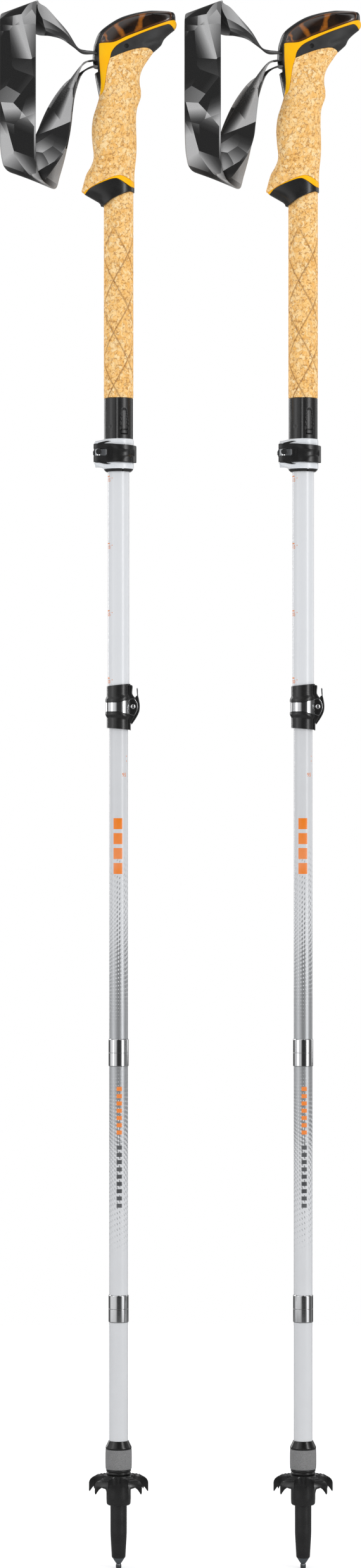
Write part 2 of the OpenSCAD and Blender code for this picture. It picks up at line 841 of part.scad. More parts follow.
for (side = SIDES)
    translate([side[1], 0, 0]) {
        cork_grip();
        head_shell();
        head_insert();
        accent_trim();
        ledge_collar();
        cork_sleeve();
        grip_tube();
        clamp_sleeve();
        clamp_body();
        handle_fasteners();
        wrist_strap();
        clamp_lever();
        clamp_nut();
        scale_tube();
        lock_body();
        lock_band();
        button_rivet();
        release_button();
        top_section();
        top_ferrule();
        mid_section();
        mid_ferrules();
        tension_cord();
        low_section();
        low_ferrule();
        tip_collar();
        damper_ring();
        tip_body();
        tip_point();
        basket();
    }
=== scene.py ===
import math
import bmesh
import bpy
import numpy as np
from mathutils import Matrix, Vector, geometry


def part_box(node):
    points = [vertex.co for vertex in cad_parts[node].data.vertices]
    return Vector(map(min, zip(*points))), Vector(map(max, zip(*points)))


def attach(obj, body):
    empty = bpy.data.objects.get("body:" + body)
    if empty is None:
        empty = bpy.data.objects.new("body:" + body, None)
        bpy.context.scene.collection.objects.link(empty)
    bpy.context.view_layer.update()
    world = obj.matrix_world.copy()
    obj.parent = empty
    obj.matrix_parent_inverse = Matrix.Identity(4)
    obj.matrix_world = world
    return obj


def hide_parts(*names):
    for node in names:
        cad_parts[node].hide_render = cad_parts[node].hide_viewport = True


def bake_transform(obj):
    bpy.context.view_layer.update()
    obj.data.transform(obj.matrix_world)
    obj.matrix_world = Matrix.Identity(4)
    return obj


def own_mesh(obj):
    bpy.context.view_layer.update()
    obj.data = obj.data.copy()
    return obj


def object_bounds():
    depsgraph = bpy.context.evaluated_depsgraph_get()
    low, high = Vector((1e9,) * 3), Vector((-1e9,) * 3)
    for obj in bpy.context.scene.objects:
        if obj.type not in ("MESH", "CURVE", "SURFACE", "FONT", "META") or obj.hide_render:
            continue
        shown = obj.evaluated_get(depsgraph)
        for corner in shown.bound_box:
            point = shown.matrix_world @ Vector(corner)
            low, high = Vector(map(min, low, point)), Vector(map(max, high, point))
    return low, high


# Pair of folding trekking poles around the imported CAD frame. Shapes are written in millimetres from
# a pole's own axis and its tip, with +X to the nose of the grip, -Y to the camera and +Z up.

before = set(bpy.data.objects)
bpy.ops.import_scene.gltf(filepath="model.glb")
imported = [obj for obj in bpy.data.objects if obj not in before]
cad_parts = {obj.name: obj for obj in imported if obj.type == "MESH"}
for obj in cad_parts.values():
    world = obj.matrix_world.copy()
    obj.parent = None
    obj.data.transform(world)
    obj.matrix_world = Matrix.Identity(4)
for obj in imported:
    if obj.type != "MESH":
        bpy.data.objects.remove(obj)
cad_low, cad_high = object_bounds()
MM = 0.001
SIDES = ("left", "right")


def axis_of(side):
    low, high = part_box(side + "_top_section")
    return (low.x + high.x) / 2


AXIS_X = {side: axis_of(side) for side in SIDES}
UPPER_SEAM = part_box("left_top_ferrule")[0].z / MM
LOWER_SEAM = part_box("left_mid_ferrules")[0].z / MM
LOCK_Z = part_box("left_lock_body")[0].z / MM
CLAMP_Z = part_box("left_clamp_body")[0].z / MM

# ---------------------------------------------------------------- camera, light and floor

LENS = 85
# Height of the upright picture over its width, which sets the sensor for views from other sides
PICTURE_ASPECT = 2476 / 570
CAMERA_DISTANCE = 3.0


def add_camera():
    height = cad_high.z - cad_low.z
    data = bpy.data.cameras.new("camera")
    data.lens = LENS
    data.sensor_fit = "VERTICAL"
    data.sensor_height = LENS * height / CAMERA_DISTANCE
    data.sensor_width = data.sensor_height * PICTURE_ASPECT
    data.clip_end = 50
    camera = bpy.data.objects.new("camera", data)
    bpy.context.scene.collection.objects.link(camera)
    camera.location = ((cad_low.x + cad_high.x) / 2, -CAMERA_DISTANCE, (cad_low.z + cad_high.z) / 2)
    camera.rotation_euler = (math.radians(90), 0, 0)
    bpy.context.scene.camera = camera


def add_light(name, place, aim, size, power):
    data = bpy.data.lights.new(name, "AREA")
    data.shape = "RECTANGLE"
    data.size, data.size_y = size
    data.energy = power
    light = bpy.data.objects.new(name, data)
    bpy.context.scene.collection.objects.link(light)
    light.location = place
    light.rotation_euler = (Vector(aim) - Vector(place)).to_track_quat("-Z", "Y").to_euler()


bpy.context.scene.view_settings.view_transform = "Standard"
add_camera()
add_light("key", (2.7, -2.5, 1.5), (0, 0, 0.6), (0.9, 3.0), 30)
add_light("fill", (-3.0, -1.6, 1.4), (0, 0, 0.6), (1.2, 2.8), 9)
add_light("back_key", (-2.2, 2.6, 1.6), (0, 0, 0.6), (0.9, 2.8), 24)
add_light("back_fill", (2.6, 2.0, 1.4), (0, 0, 0.6), (1.2, 2.6), 10)

# ---------------------------------------------------------------- materials


class Nodes:
    """A node tree, built call by call. Numbers and sockets are both taken as inputs."""

    def __init__(self, tree):
        self.tree = tree
        tree.nodes.clear()

    def node(self, kind, inputs=None, **settings):
        made = self.tree.nodes.new(kind)
        for key, value in settings.items():
            setattr(made, key, value)
        for key, value in (inputs or {}).items():
            self.put(made.inputs[key], value)
        return made

    def put(self, socket, value):
        if isinstance(value, bpy.types.NodeSocket):
            self.tree.links.new(value, socket)
        elif isinstance(value, tuple) and len(value) == 3 and socket.type == "RGBA":
            socket.default_value = (*value, 1)
        else:
            socket.default_value = value

    def math(self, operation, a, b=0.0):
        return self.node("ShaderNodeMath", {0: a, 1: b}, operation=operation).outputs[0]

    def plus(self, a, b):
        return self.math("ADD", a, b)

    def minus(self, a, b):
        return self.math("SUBTRACT", a, b)

    def times(self, a, b):
        return self.math("MULTIPLY", a, b)

    def most(self, a, b):
        return self.math("MAXIMUM", a, b)

    def vector(self, operation, a, b):
        return self.node("ShaderNodeVectorMath", {0: a, 1: b}, operation=operation).outputs[0]

    def split(self, vector):
        return self.node("ShaderNodeSeparateXYZ", {0: vector}).outputs

    def noise(self, vector, scale, detail=3.0, roughness=0.5, output=0):
        inputs = {"Vector": vector, "Scale": scale, "Detail": detail, "Roughness": roughness}
        return self.node("ShaderNodeTexNoise", inputs).outputs[output]

    def cells(self, vector, scale, feature="F1", output="Distance"):
        inputs = {"Vector": vector, "Scale": scale}
        return self.node("ShaderNodeTexVoronoi", inputs, feature=feature).outputs[output]

    def range(self, value, low, high, to_low=0.0, to_high=1.0):
        inputs = {"Value": value, "From Min": low, "From Max": high, "To Min": to_low, "To Max": to_high}
        return self.node("ShaderNodeMapRange", inputs).outputs[0]

    def ramp(self, value, stops):
        """A colour for each value, from stops of a place and a colour or a grey."""
        made = self.node("ShaderNodeValToRGB", {0: value})
        elements = made.color_ramp.elements
        while len(elements) < len(stops):
            elements.new(0.5)
        for element, (at, colour) in zip(elements, stops):
            element.position = at
            element.color = (*colour, 1) if isinstance(colour, tuple) else (colour,) * 3 + (1,)
        return made.outputs[0]

    def mix(self, factor, a, b):
        return self.node("ShaderNodeMix", {0: factor, 6: a, 7: b}, data_type="RGBA").outputs[2]


class Graph(Nodes):
    """A material with one principled shader."""

    def __init__(self, name):
        self.material = bpy.data.materials.new(name)
        self.material.use_nodes = True
        super().__init__(self.material.node_tree)
        self.shader = self.node("ShaderNodeBsdfPrincipled")
        self.node("ShaderNodeOutputMaterial", {0: self.shader.outputs[0]})

    def set(self, **values):
        """Sets the shader's inputs; an underscore in a name stands for a space."""
        for key, value in values.items():
            self.put(self.shader.inputs[key.replace("_", " ")], value)
        return self

    def place(self, scale=(1, 1, 1)):
        """The piece's own coordinates in millimetres, stretched by scale."""
        where = self.node("ShaderNodeTexCoord").outputs["Object"]
        return self.vector("MULTIPLY", where, tuple(s / MM for s in scale))

    def bump(self, height, distance_mm, strength=1.0):
        inputs = {"Height": height, "Distance": distance_mm * MM, "Strength": strength}
        return self.set(Normal=self.node("ShaderNodeBump", inputs).outputs[0])

    def edge(self, width_mm):
        """1 on a plate's rim, falling to 0 at width_mm inside it."""
        away = self.node("ShaderNodeAttribute", attribute_name="edge_mm").outputs["Fac"]
        return self.range(away, 0, width_mm, 1, 0)


def cork():
    g = Graph("cork")
    where = g.place()
    shake = g.vector("SUBTRACT", g.noise(where, 0.30, 2, output="Color"), (0.5, 0.5, 0.5))
    bent = g.vector("ADD", where, g.vector("MULTIPLY", shake, (6.0, 6.0, 6.0)))
    size, small_size = 0.36, 0.85
    grains = g.cells(bent, size, output="Color")
    small = g.cells(bent, small_size, output="Color")
    tone = g.ramp(g.split(grains)[0], [(0.0, (0.84, 0.43, 0.10)), (0.25, (0.94, 0.54, 0.16)),
                                       (0.5, (0.98, 0.62, 0.23)), (0.72, (1.0, 0.77, 0.43)),
                                       (0.82, (0.99, 0.69, 0.31)), (1.0, (0.88, 0.47, 0.12))])
    fine = g.ramp(g.split(small)[1], [(0.0, (0.85, 0.44, 0.10)), (0.5, (0.98, 0.62, 0.23)),
                                      (1.0, (1.0, 0.80, 0.48))])
    base = g.mix(0.35, tone, fine)
    gap = g.cells(bent, size, "DISTANCE_TO_EDGE")
    small_gap = g.cells(bent, small_size, "DISTANCE_TO_EDGE")
    open_here = g.noise(where, 0.5, 2)
    seam = g.times(g.range(gap, 0.0, 0.09, 1, 0), 0.30)
    crack = g.times(g.range(gap, 0.02, 0.13, 1, 0), g.range(open_here, 0.44, 0.58))
    pore = g.times(g.range(small_gap, 0.02, 0.15, 1, 0), g.range(open_here, 0.55, 0.68))
    dark = g.most(g.most(crack, seam), g.times(pore, 0.8))
    colour = g.mix(g.times(dark, 0.72), base, (0.36, 0.135, 0.03))
    # Painted shade: the colour darkens along the sleeve's grooves by their depth, on top of the grooves cut
    # in the shape
    groove = g.node("ShaderNodeAttribute", attribute_name="groove").outputs["Fac"]
    colour = g.mix(g.times(groove, 0.62), colour, (0.24, 0.095, 0.028))
    height = g.minus(g.times(g.split(grains)[2], 0.25), dark)
    g.bump(height, 0.22, 0.7)
    return g.set(Base_Color=colour, Roughness=g.range(dark, 0, 1, 0.62, 0.9), Specular_IOR_Level=0.25)


def black_plastic(name, colour=0.013, roughness=0.26, grain=0.02, grain_scale=4.0):
    g = Graph(name)
    where = g.place()
    fine = g.noise(where, grain_scale, 2)
    wide = g.noise(where, 0.12, 3)
    shade = g.ramp(wide, [(0.3, (colour * 0.82,) * 3), (0.7, (colour * 1.25,) * 3)])
    g.bump(fine, grain, 0.55)
    rough = g.plus(g.range(fine, 0.3, 0.7, roughness - 0.05, roughness + 0.07),
                   g.range(wide, 0.35, 0.65, -0.03, 0.03))
    return g.set(Base_Color=shade, Roughness=rough, Specular_IOR_Level=0.62)


def tortoise():
    """Polished dark inlay with two brown streaks and a brown rim, like marbled horn."""
    g = Graph("tortoise")
    where = g.place()
    wobble = g.range(g.noise(where, 0.09, 2), 0.3, 0.7, -2.0, 2.0)
    x, _, z = g.split(where)[:3]
    streaks = 0.0
    for x0, z0, lean, half in ((0.4, 1144, -0.50, 2.3), (16.9, 1150.6, 0.30, 2.1), (-9.0, 1138, -0.4, 0.9)):
        line = g.plus(g.times(g.minus(z, z0), lean), x0)
        off = g.math("ABSOLUTE", g.minus(g.plus(x, wobble), line))
        streaks = g.most(streaks, g.range(off, half * 0.45, half * 1.35, 1, 0))
    vein = g.range(g.noise(where, 0.5, 5, 0.7), 0.35, 0.7)
    streaks = g.times(streaks, g.range(vein, 0, 1, 1.0, 0.6))
    dark = g.ramp(g.noise(where, 0.12, 4), [(0.35, (0.006, 0.005, 0.005)), (0.7, (0.028, 0.014, 0.008))])
    colour = g.mix(streaks, dark, (0.33, 0.105, 0.012))
    rim = g.times(g.edge(1.6), 0.75)
    colour = g.mix(rim, colour, (0.16, 0.055, 0.014))
    g.bump(g.noise(where, 0.35, 2), 0.02, 0.3)
    return g.set(Base_Color=colour, Roughness=0.10, Coat_Weight=0.9, Coat_Roughness=0.03,
                 Specular_IOR_Level=0.55)


def yellow_plastic():
    g = Graph("yellow_plastic")
    where = g.place()
    tone = g.ramp(g.noise(where, 0.08, 3), [(0.3, (1.0, 0.475, 0.0)), (0.7, (1.0, 0.54, 0.002))])
    colour = g.mix(g.times(g.edge(0.35), 0.5), tone, (0.62, 0.22, 0.004))
    g.bump(g.noise(where, 3.5, 2), 0.03, 0.4)
    return g.set(Base_Color=colour, Roughness=g.range(g.noise(where, 1.2, 2), 0.3, 0.7, 0.34, 0.44),
                 Specular_IOR_Level=0.15)


def white_plastic():
    g = Graph("white_plastic")
    where = g.place()
    tone = g.ramp(g.noise(where, 0.1, 3), [(0.3, (0.70, 0.73, 0.76)), (0.7, (0.78, 0.80, 0.82))])
    g.bump(g.noise(where, 2.5, 2), 0.02, 0.35)
    return g.set(Base_Color=tone, Roughness=g.range(g.noise(where, 0.8, 2), 0.3, 0.7, 0.22, 0.32),
                 Coat_Weight=0.3, Coat_Roughness=0.12)


PAINT = (0.68, 0.695, 0.715)
SECTION_PAINT = (0.585, 0.595, 0.61)
SILVER = (0.58, 0.595, 0.61)
ORANGE = (0.80, 0.20, 0.008)


def lacquer(g, where, colour, metal=0.0):
    tone = g.mix(g.range(g.noise(where, 0.06, 3), 0.3, 0.7, 0.0, 0.10), colour, (0.80, 0.82, 0.84))
    flake = g.noise(where, 6.0, 2)
    g.bump(flake, 0.012, 0.4)
    rough = g.range(flake, 0.3, 0.7, 0.24, 0.33)
    return g.set(Base_Color=tone, Metallic=metal, Roughness=rough, Coat_Weight=0.35, Coat_Roughness=0.10)


def white_paint():
    g = Graph("white_paint")
    return lacquer(g, g.place(), PAINT)


def halftone_paint():
    """White lacquer whose silver dots grow and merge towards the upper fold joint."""
    columns = 24
    middle = UPPER_SEAM + 6
    g = Graph("halftone_paint")
    where = g.place()
    x, y, z = g.split(where)[:3]
    turn = g.times(g.math("ARCTAN2", x, g.times(y, -1.0)), columns / math.tau)
    away = g.math("ABSOLUTE", g.minus(z, middle))
    rows = g.minus(g.times(away, 0.400), g.times(g.times(away, away), 0.0006))
    lean = g.range(away, 30, 115, 0.05, -0.80)
    phase = g.plus(rows, g.times(turn, lean))
    across = g.times(g.math("COSINE", g.times(turn, math.tau)), -0.5)
    along = g.times(g.math("COSINE", g.times(phase, math.tau)), 0.5)
    field = g.plus(across, along)
    limit = g.ramp(g.math("DIVIDE", away, 160.0), [
        (0.0, 0.02), (0.10, 0.045), (0.22, 0.12), (0.35, 0.29), (0.50, 0.58), (0.70, 0.78), (0.90, 0.93),
        (0.99, 1.01),
    ])
    cut = g.range(limit, 0, 1, -1.02, 1.02)
    ink = g.range(g.minus(field, cut), -0.06, 0.06)
    front = g.math("LESS_THAN", y, 0.0)

    def blocks(bottom, top, pitch, share, centre, half):
        """Plain blocks up the front, over a run of height."""
        step = g.math("FRACT", g.math("DIVIDE", g.minus(z, bottom), pitch))
        mark = g.times(g.math("LESS_THAN", step, share), front)
        middle, reach = (bottom + top) / 2, (top - bottom) / 2
        in_run = g.math("LESS_THAN", g.math("ABSOLUTE", g.minus(z, middle)), reach)
        in_width = g.math("LESS_THAN", g.math("ABSOLUTE", g.minus(x, centre)), half)
        return g.times(mark, g.times(in_run, in_width))

    large = blocks(517.0, 560.0, 11.1, 0.74, -0.4, 3.3)
    small = blocks(323.4, 361.0, 5.4, 0.56, 0.6, 2.0)
    dark = blocks(269.0, 318.0, 5.4, 0.56, 0.6, 2.0)
    orange = g.most(large, small)
    ink = g.times(ink, g.minus(1.0, g.most(orange, dark)))
    colour = g.mix(orange, g.mix(ink, SECTION_PAINT, SILVER), ORANGE)
    colour = g.mix(dark, colour, (0.05, 0.052, 0.056))
    rough = g.range(ink, 0, 1, 0.27, 0.42)
    lacquer(g, where, colour, g.times(ink, 0.85))
    return g.set(Roughness=rough, Coat_Weight=0.12)


def section_paint():
    g = Graph("section_paint")
    return lacquer(g, g.place(), SECTION_PAINT)


def orange_ink():
    g = Graph("orange_ink")
    where = g.place()
    tone = g.ramp(g.noise(where, 1.5, 2), [(0.3, (0.72, 0.17, 0.006)), (0.7, ORANGE)])
    return g.set(Base_Color=tone, Roughness=0.45)


def metal(name, colour, roughness, brush=(0.4, 0.4, 12.0), depth=0.01):
    g = Graph(name)
    lines = g.noise(g.place(brush), 1.0, 2)
    smudge = g.noise(g.place(), 0.15, 3)
    tone = g.mix(g.range(smudge, 0.3, 0.7), tuple(c * 0.93 for c in colour), colour)
    g.bump(lines, depth, 0.2)
    rough = g.plus(g.range(lines, 0.3, 0.7, roughness * 0.8, roughness * 1.25),
                   g.range(smudge, 0.4, 0.7, 0.0, 0.02))
    return g.set(Base_Color=tone, Metallic=1.0, Roughness=rough)


def elastomer():
    g = Graph("elastomer")
    where = g.place()
    speck = g.cells(where, 4.5, output="Color")
    tone = g.ramp(g.split(speck)[0], [(0.0, 0.10), (0.35, 0.16), (0.7, 0.20),
                                      (1.0, 0.29)])
    tone = g.mix(0.5, tone, g.ramp(g.noise(where, 1.6, 3), [(0.3, 0.12), (0.7, 0.26)]))
    g.bump(g.noise(where, 2.2, 3), 0.10, 0.6)
    return g.set(Base_Color=tone, Roughness=0.75, Specular_IOR_Level=0.3)


def webbing():
    """Printed flat webbing: straight-edged dark facets over a fine diagonal weave."""
    g = Graph("webbing")
    where = g.node("ShaderNodeAttribute", attribute_name="along_across").outputs["Vector"]
    along, across = g.split(where)[:2]
    skewed = g.node("ShaderNodeCombineXYZ", {
        0: g.plus(along, g.times(across, 0.85)),
        1: g.minus(g.times(across, 1.15), g.times(along, 0.35)),
    }).outputs[0]

    def facets(vector, scale, slope):
        """Flat-edged facets, each with its own tone and its own run from dark to light."""
        tint = g.split(g.cells(vector, scale, output="Color"))
        centre = g.cells(vector, scale, output="Position")
        off = g.split(g.vector("SUBTRACT", vector, centre))
        run_x = g.times(off[0], g.minus(tint[1], 0.5))
        run_y = g.times(off[1], g.minus(tint[2], 0.5))
        run = g.times(g.plus(run_x, run_y), slope)
        return g.plus(tint[0], run)

    shade = g.plus(g.times(facets(skewed, 0.030, 0.16), 0.62),
                   g.times(facets(where, 0.050, 0.10), 0.38))
    tone = g.ramp(shade, [(0.12, 0.010), (0.36, 0.030), (0.52, 0.075), (0.66, 0.16),
                          (0.84, 0.30), (1.0, 0.46)])
    warp = g.math("SINE", g.times(g.plus(along, across), 5.2))
    weft = g.math("SINE", g.times(g.minus(along, across), 5.2))
    weave = g.most(warp, weft)
    grain = g.noise(where, 2.4, 3)
    tone = g.mix(g.range(grain, 0.35, 0.75, 0.0, 0.14), tone, (0.10,) * 3)
    rim = g.range(g.math("ABSOLUTE", across), 12.5, 13.2)
    tone = g.mix(g.times(rim, 0.30), tone, (0.08,) * 3)
    g.bump(g.plus(weave, g.times(grain, 1.5)), 0.05, 0.6)
    return g.set(Base_Color=tone, Roughness=0.62, Sheen_Weight=0.08, Sheen_Roughness=0.4,
                 Specular_IOR_Level=0.2)


def cord_cover():
    g = Graph("cord_cover")
    where = g.place()
    x, y, z = g.split(where)[:3]
    turn = g.times(g.math("ARCTAN2", y, x), 4.0)
    a = g.math("SINE", g.plus(turn, g.times(z, 3.0)))
    b = g.math("SINE", g.minus(turn, g.times(z, 3.0)))
    braid = g.most(a, b)
    tone = g.ramp(g.range(braid, -1, 1), [(0.2, 0.012), (0.9, 0.05)])
    g.bump(braid, 0.08, 0.7)
    return g.set(Base_Color=tone, Roughness=0.6)


def stage_floor():
    g = Graph("stage_floor")
    where = g.place((0.001, 0.001, 0.001))
    tone = g.ramp(g.noise(where, 2.0, 3), [(0.3, (0.95, 0.95, 0.95)), (0.7, (0.97, 0.97, 0.97))])
    mirrored = g.node("ShaderNodeLightPath").outputs["Is Glossy Ray"]
    tone = g.mix(mirrored, tone, (0.20, 0.20, 0.20))
    glow = g.times(g.minus(1.0, mirrored), 0.18)
    return g.set(Base_Color=tone, Roughness=0.9, Specular_IOR_Level=0.1, Emission_Color=(1, 1, 1),
                 Emission_Strength=glow)


CORK = cork().material
BLACK = black_plastic("black_plastic").material
SHINY_BLACK = black_plastic("shiny_black", 0.010, 0.22, 0.02).material
RUBBER = black_plastic("rubber_pad", 0.026, 0.58, 0.08, 2.6).material
TORTOISE = tortoise().material
YELLOW = yellow_plastic().material
WHITE = white_plastic().material
WHITE_PAINT = white_paint().material
HALFTONE = halftone_paint().material
SECTION = section_paint().material
INK = orange_ink().material
CHROME = metal("chrome", (0.90, 0.91, 0.92), 0.075, (0.3, 0.3, 3.0), 0.0008).material
STEEL = metal("steel", (0.74, 0.75, 0.77), 0.16).material
CARBIDE = metal("carbide", (0.20, 0.21, 0.225), 0.30, (2.0, 2.0, 2.0), 0.03).material
TIP_STEEL = metal("tip_steel", (0.40, 0.44, 0.48), 0.20, (0.4, 0.4, 4.0), 0.01).material
ELASTOMER = elastomer().material
WEBBING = webbing().material
CORD = cord_cover().material

# ---------------------------------------------------------------- mesh helpers

# A turned solid with no bore starts this far from its axis
CORE_R = 0.02
# Edges that turn by more degrees than this stay sharp
CREASE = 38


def mesh_of(name, parts, crease=CREASE, **values):
    """One clean mesh from (points, faces) parts in millimetres; values are kept by point for materials."""
    points, faces, start = [], [], 0
    for part_points, part_faces in parts:
        points.append(np.asarray(part_points, float))
        faces += [[start + i for i in face] for face in part_faces]
        start += len(part_points)
    mesh = bpy.data.meshes.new(name)
    mesh.from_pydata((np.concatenate(points) * MM).tolist(), [], faces)
    for key, value in values.items():
        keep_values(mesh, key, value)
    mesh.validate()
    tidy_normals(mesh, crease)
    return mesh


def keep_values(mesh, name, values):
    values = np.asarray(values, np.float32)
    kind, field = ("FLOAT", "value") if values.ndim == 1 else ("FLOAT_VECTOR", "vector")
    mesh.attributes.new(name, kind, "POINT").data.foreach_set(field, values.ravel())


def tidy_normals(mesh, crease):
    work = bmesh.new()
    work.from_mesh(mesh)
    bmesh.ops.remove_doubles(work, verts=work.verts, dist=2e-6)
    bmesh.ops.dissolve_degenerate(work, edges=work.edges, dist=1e-6)
    bmesh.ops.recalc_face_normals(work, faces=work.faces)
    work.to_mesh(mesh)
    work.free()
    mesh.shade_smooth()
    mesh.set_sharp_from_angle(angle=math.radians(crease))


def add(side, name, mesh, body, material, nodes=(), bend=None):
    """Puts a mesh on one pole, riding on a body; given bend, whose bodies and stretch of Z are not used, it
    keeps its own copy of the mesh, set in place on no body.
    """
    piece = bpy.data.objects.new(f"{side}_{name}", mesh.copy() if bend else mesh)
    bpy.context.scene.collection.objects.link(piece)
    piece.location.x = AXIS_X[side]
    if not piece.data.materials:
        piece.data.materials.append(material)
    if bend:
        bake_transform(piece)
    else:
        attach(piece, f"{side}_{body}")
    if nodes:
        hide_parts(*[f"{side}_{node}" for node in nodes])
    return piece


def add_both(name, mesh, body, material, nodes=(), bend=None):
    for side in SIDES:
        add(side, name, mesh, body, material, nodes, bend)


def full_turn(count):
    return np.arange(count) * math.tau / count


def at_height(flat, z):
    return np.column_stack([flat, np.full(len(flat), z)])


def smooth(points, step=0.7, parts=None):
    """A curve through given points, sampled about every step millimetres, or in parts per stretch."""
    p = np.asarray(points, float)
    p = np.vstack([2 * p[0] - p[1], p, 2 * p[-1] - p[-2]])
    made = []
    for a, b, c, d in zip(p, p[1:], p[2:], p[3:]):
        count = parts or max(1, int(round(np.linalg.norm(c - b) / step)))
        for t in np.arange(count) / count:
            made.append(0.5 * (2 * b + (c - a) * t + (2 * a - 5 * b + 4 * c - d) * t ** 2
                               + (3 * b - a - 3 * c + d) * t ** 3))
    made.append(p[-2])
    return np.array(made)


def chain(*runs):
    """Runs joined end to end into one closed outline."""
    joined = [np.asarray(runs[0], float)]
    for run in runs[1:]:
        run = np.asarray(run, float)
        joined.append(run[1:] if np.linalg.norm(run[0] - joined[-1][-1]) < 0.05 else run)
    outline = np.vstack(joined)
    return outline[:-1] if np.linalg.norm(outline[0] - outline[-1]) < 0.05 else outline


def finely(outline, step):
    """The closed outline with points added so that no side is longer than step."""
    made = []
    for a, b in zip(outline, np.roll(outline, -1, axis=0)):
        count = max(1, int(math.ceil(np.linalg.norm(b - a) / step)))
        made += [a + (b - a) * i / count for i in range(count)]
    return np.array(made)


def edge_distance(points, outline):
    best = np.full(len(points), 1e9)
    for a, b in zip(outline, np.roll(outline, -1, axis=0)):
        side = b - a
        t = np.clip((points - a) @ side / max(side @ side, 1e-12), 0, 1)
        best = np.minimum(best, np.linalg.norm(points - a - t[:, None] * side, axis=1))
    return best


def within(points, outline):
    inside = np.zeros(len(points), bool)
    x, y = points.T
    for (ax, ay), (bx, by) in zip(outline, np.roll(outline, -1, axis=0)):
        spans = (ay > y) != (by > y)
        with np.errstate(divide="ignore", invalid="ignore"):
            cross = (bx - ax) * (y - ay) / (by - ay) + ax
        inside ^= spans & (x < cross)
    return inside


def area_of(outline):
    x, y = np.asarray(outline).T
    return 0.5 * np.sum(x * np.roll(y, -1) - np.roll(x, -1) * y)


def depth_inside(points, outline):
    """A smooth distance from the outline: the harmonic mean of the distances seen in every direction."""
    total = np.zeros(len(points))
    for a, b in zip(outline, np.roll(outline, -1, axis=0)):
        u, v = a - points, b - points
        ru, rv = np.linalg.norm(u, axis=1), np.linalg.norm(v, axis=1)
        cross = u[:, 0] * v[:, 1] - u[:, 1] * v[:, 0]
        dot = (u * v).sum(1)
        half = cross / np.maximum(ru * rv + dot, 1e-9)
        total += (1 / np.maximum(ru, 1e-9) + 1 / np.maximum(rv, 1e-9)) * half
    return np.where(total > 1e-9, 2 / np.maximum(total, 1e-9), 0)


def plate(outline, front, back, step=0.8, spacing=1.6, rows=(0.12, 0.3, 0.55, 0.9), extra=()):
    """A closed solid over a flat outline: front and back map the outline's points into space."""
    outline = np.asarray(outline, float)
    if area_of(outline) < 0:
        outline = outline[::-1]
    rim = finely(outline, step)
    cloud = []
    for row in rows:
        moved = inset(rim, row)
        cloud.append(moved[(edge_distance(moved, rim) > 0.9 * row) & within(moved, rim)])
    low, high = rim.min(0), rim.max(0)
    xs = np.arange(low[0], high[0], spacing)
    ys = np.arange(low[1], high[1], spacing * 0.866)
    grid = np.array([[x + (j % 2) * spacing / 2, y] for j, y in enumerate(ys) for x in xs])
    if len(grid):
        cloud.append(grid[within(grid, rim) & (edge_distance(grid, rim) > rows[-1] + spacing * 0.4)])
    if len(extra):
        cloud.append(np.asarray(extra, float))
    flat = np.vstack([rim, *cloud])
    rim_edges = [(i, (i + 1) % len(rim)) for i in range(len(rim))]
    found = geometry.delaunay_2d_cdt([Vector(p) for p in flat], rim_edges, [], 1, 1e-4)
    flat = np.array([list(p) for p in found[0]])
    faces = [list(face) for face in found[2]]
    edges = dict.fromkeys((a, b) for face in faces for a, b in zip(face, face[1:] + face[:1]))
    count = len(flat)
    near = edge_distance(flat, rim)
    points = np.vstack([front(flat, near), back(flat, near)])
    walls = [[b, a, a + count, b + count] for a, b in edges if (b, a) not in edges]
    return points, faces + [[i + count for i in face[::-1]] for face in faces] + walls, near


def plate_mesh(name, made):
    """The mesh of a plate, which keeps each point's distance from the rim for its material."""
    points, faces, near = made
    return mesh_of(name, [(points, faces)], edge_mm=np.concatenate([near, near]))


def loft(rings, closed=False):
    """Skin over rings of equal count: closed joins the last ring to the first, else both ends are capped."""
    rings = np.asarray(rings, float)
    count, around = rings.shape[:2]
    i = np.arange(count if closed else count - 1)[:, None]
    j = np.arange(around)[None, :]
    after, beside = (i + 1) % count, (j + 1) % around
    quads = np.stack([i * around + j, i * around + beside, after * around + beside, after * around + j], -1)
    faces = quads.reshape(-1, 4).tolist()
    if not closed:
        faces.append(list(range(around))[::-1])
        faces.append(list(range((count - 1) * around, count * around)))
    return rings.reshape(-1, 3), faces


def braced(points, reach=0.07):
    """The closed profile with a point just inside both ends of long sides, so that they shade straight."""
    made = []
    for a, b in zip(points, np.roll(points, -1, axis=0)):
        made.append(a)
        length = np.linalg.norm(b - a)
        if length > 6 * reach:
            made += [a + (b - a) * reach / length, b - (b - a) * reach / length]
    return np.array(made)


def filleted(profile, parts=4):
    """A closed profile of (r, z) or (r, z, fillet) corners, with the filleted corners rounded."""
    corners = [(*c, 0)[:3] for c in profile]
    made = []
    for i, (r, z, fillet) in enumerate(corners):
        here = np.array([r, z])
        if not fillet:
            made.append(here)
            continue
        before = np.array(corners[i - 1][:2]) - here
        after = np.array(corners[(i + 1) % len(corners)][:2]) - here
        a = here + before / np.linalg.norm(before) * min(fillet, np.linalg.norm(before) * 0.48)
        b = here + after / np.linalg.norm(after) * min(fillet, np.linalg.norm(after) * 0.48)
        for t in np.linspace(0, 1, parts + 1):
            made.append((1 - t) ** 2 * a + 2 * t * (1 - t) * here + t ** 2 * b)
    return braced(np.array(made))


def lathe(profile, steps=96, shape=None):
    """A closed profile turned about the pole's axis; shape may change the radius by angle and height."""
    angles = full_turn(steps)
    rings = []
    for r, z in filleted(profile):
        radius = np.full(steps, r) if shape is None else shape(angles, np.full(steps, r), z)
        rings.append(np.stack([radius * np.cos(angles), radius * np.sin(angles), np.full(steps, z)], 1))
    return loft(rings, closed=True)


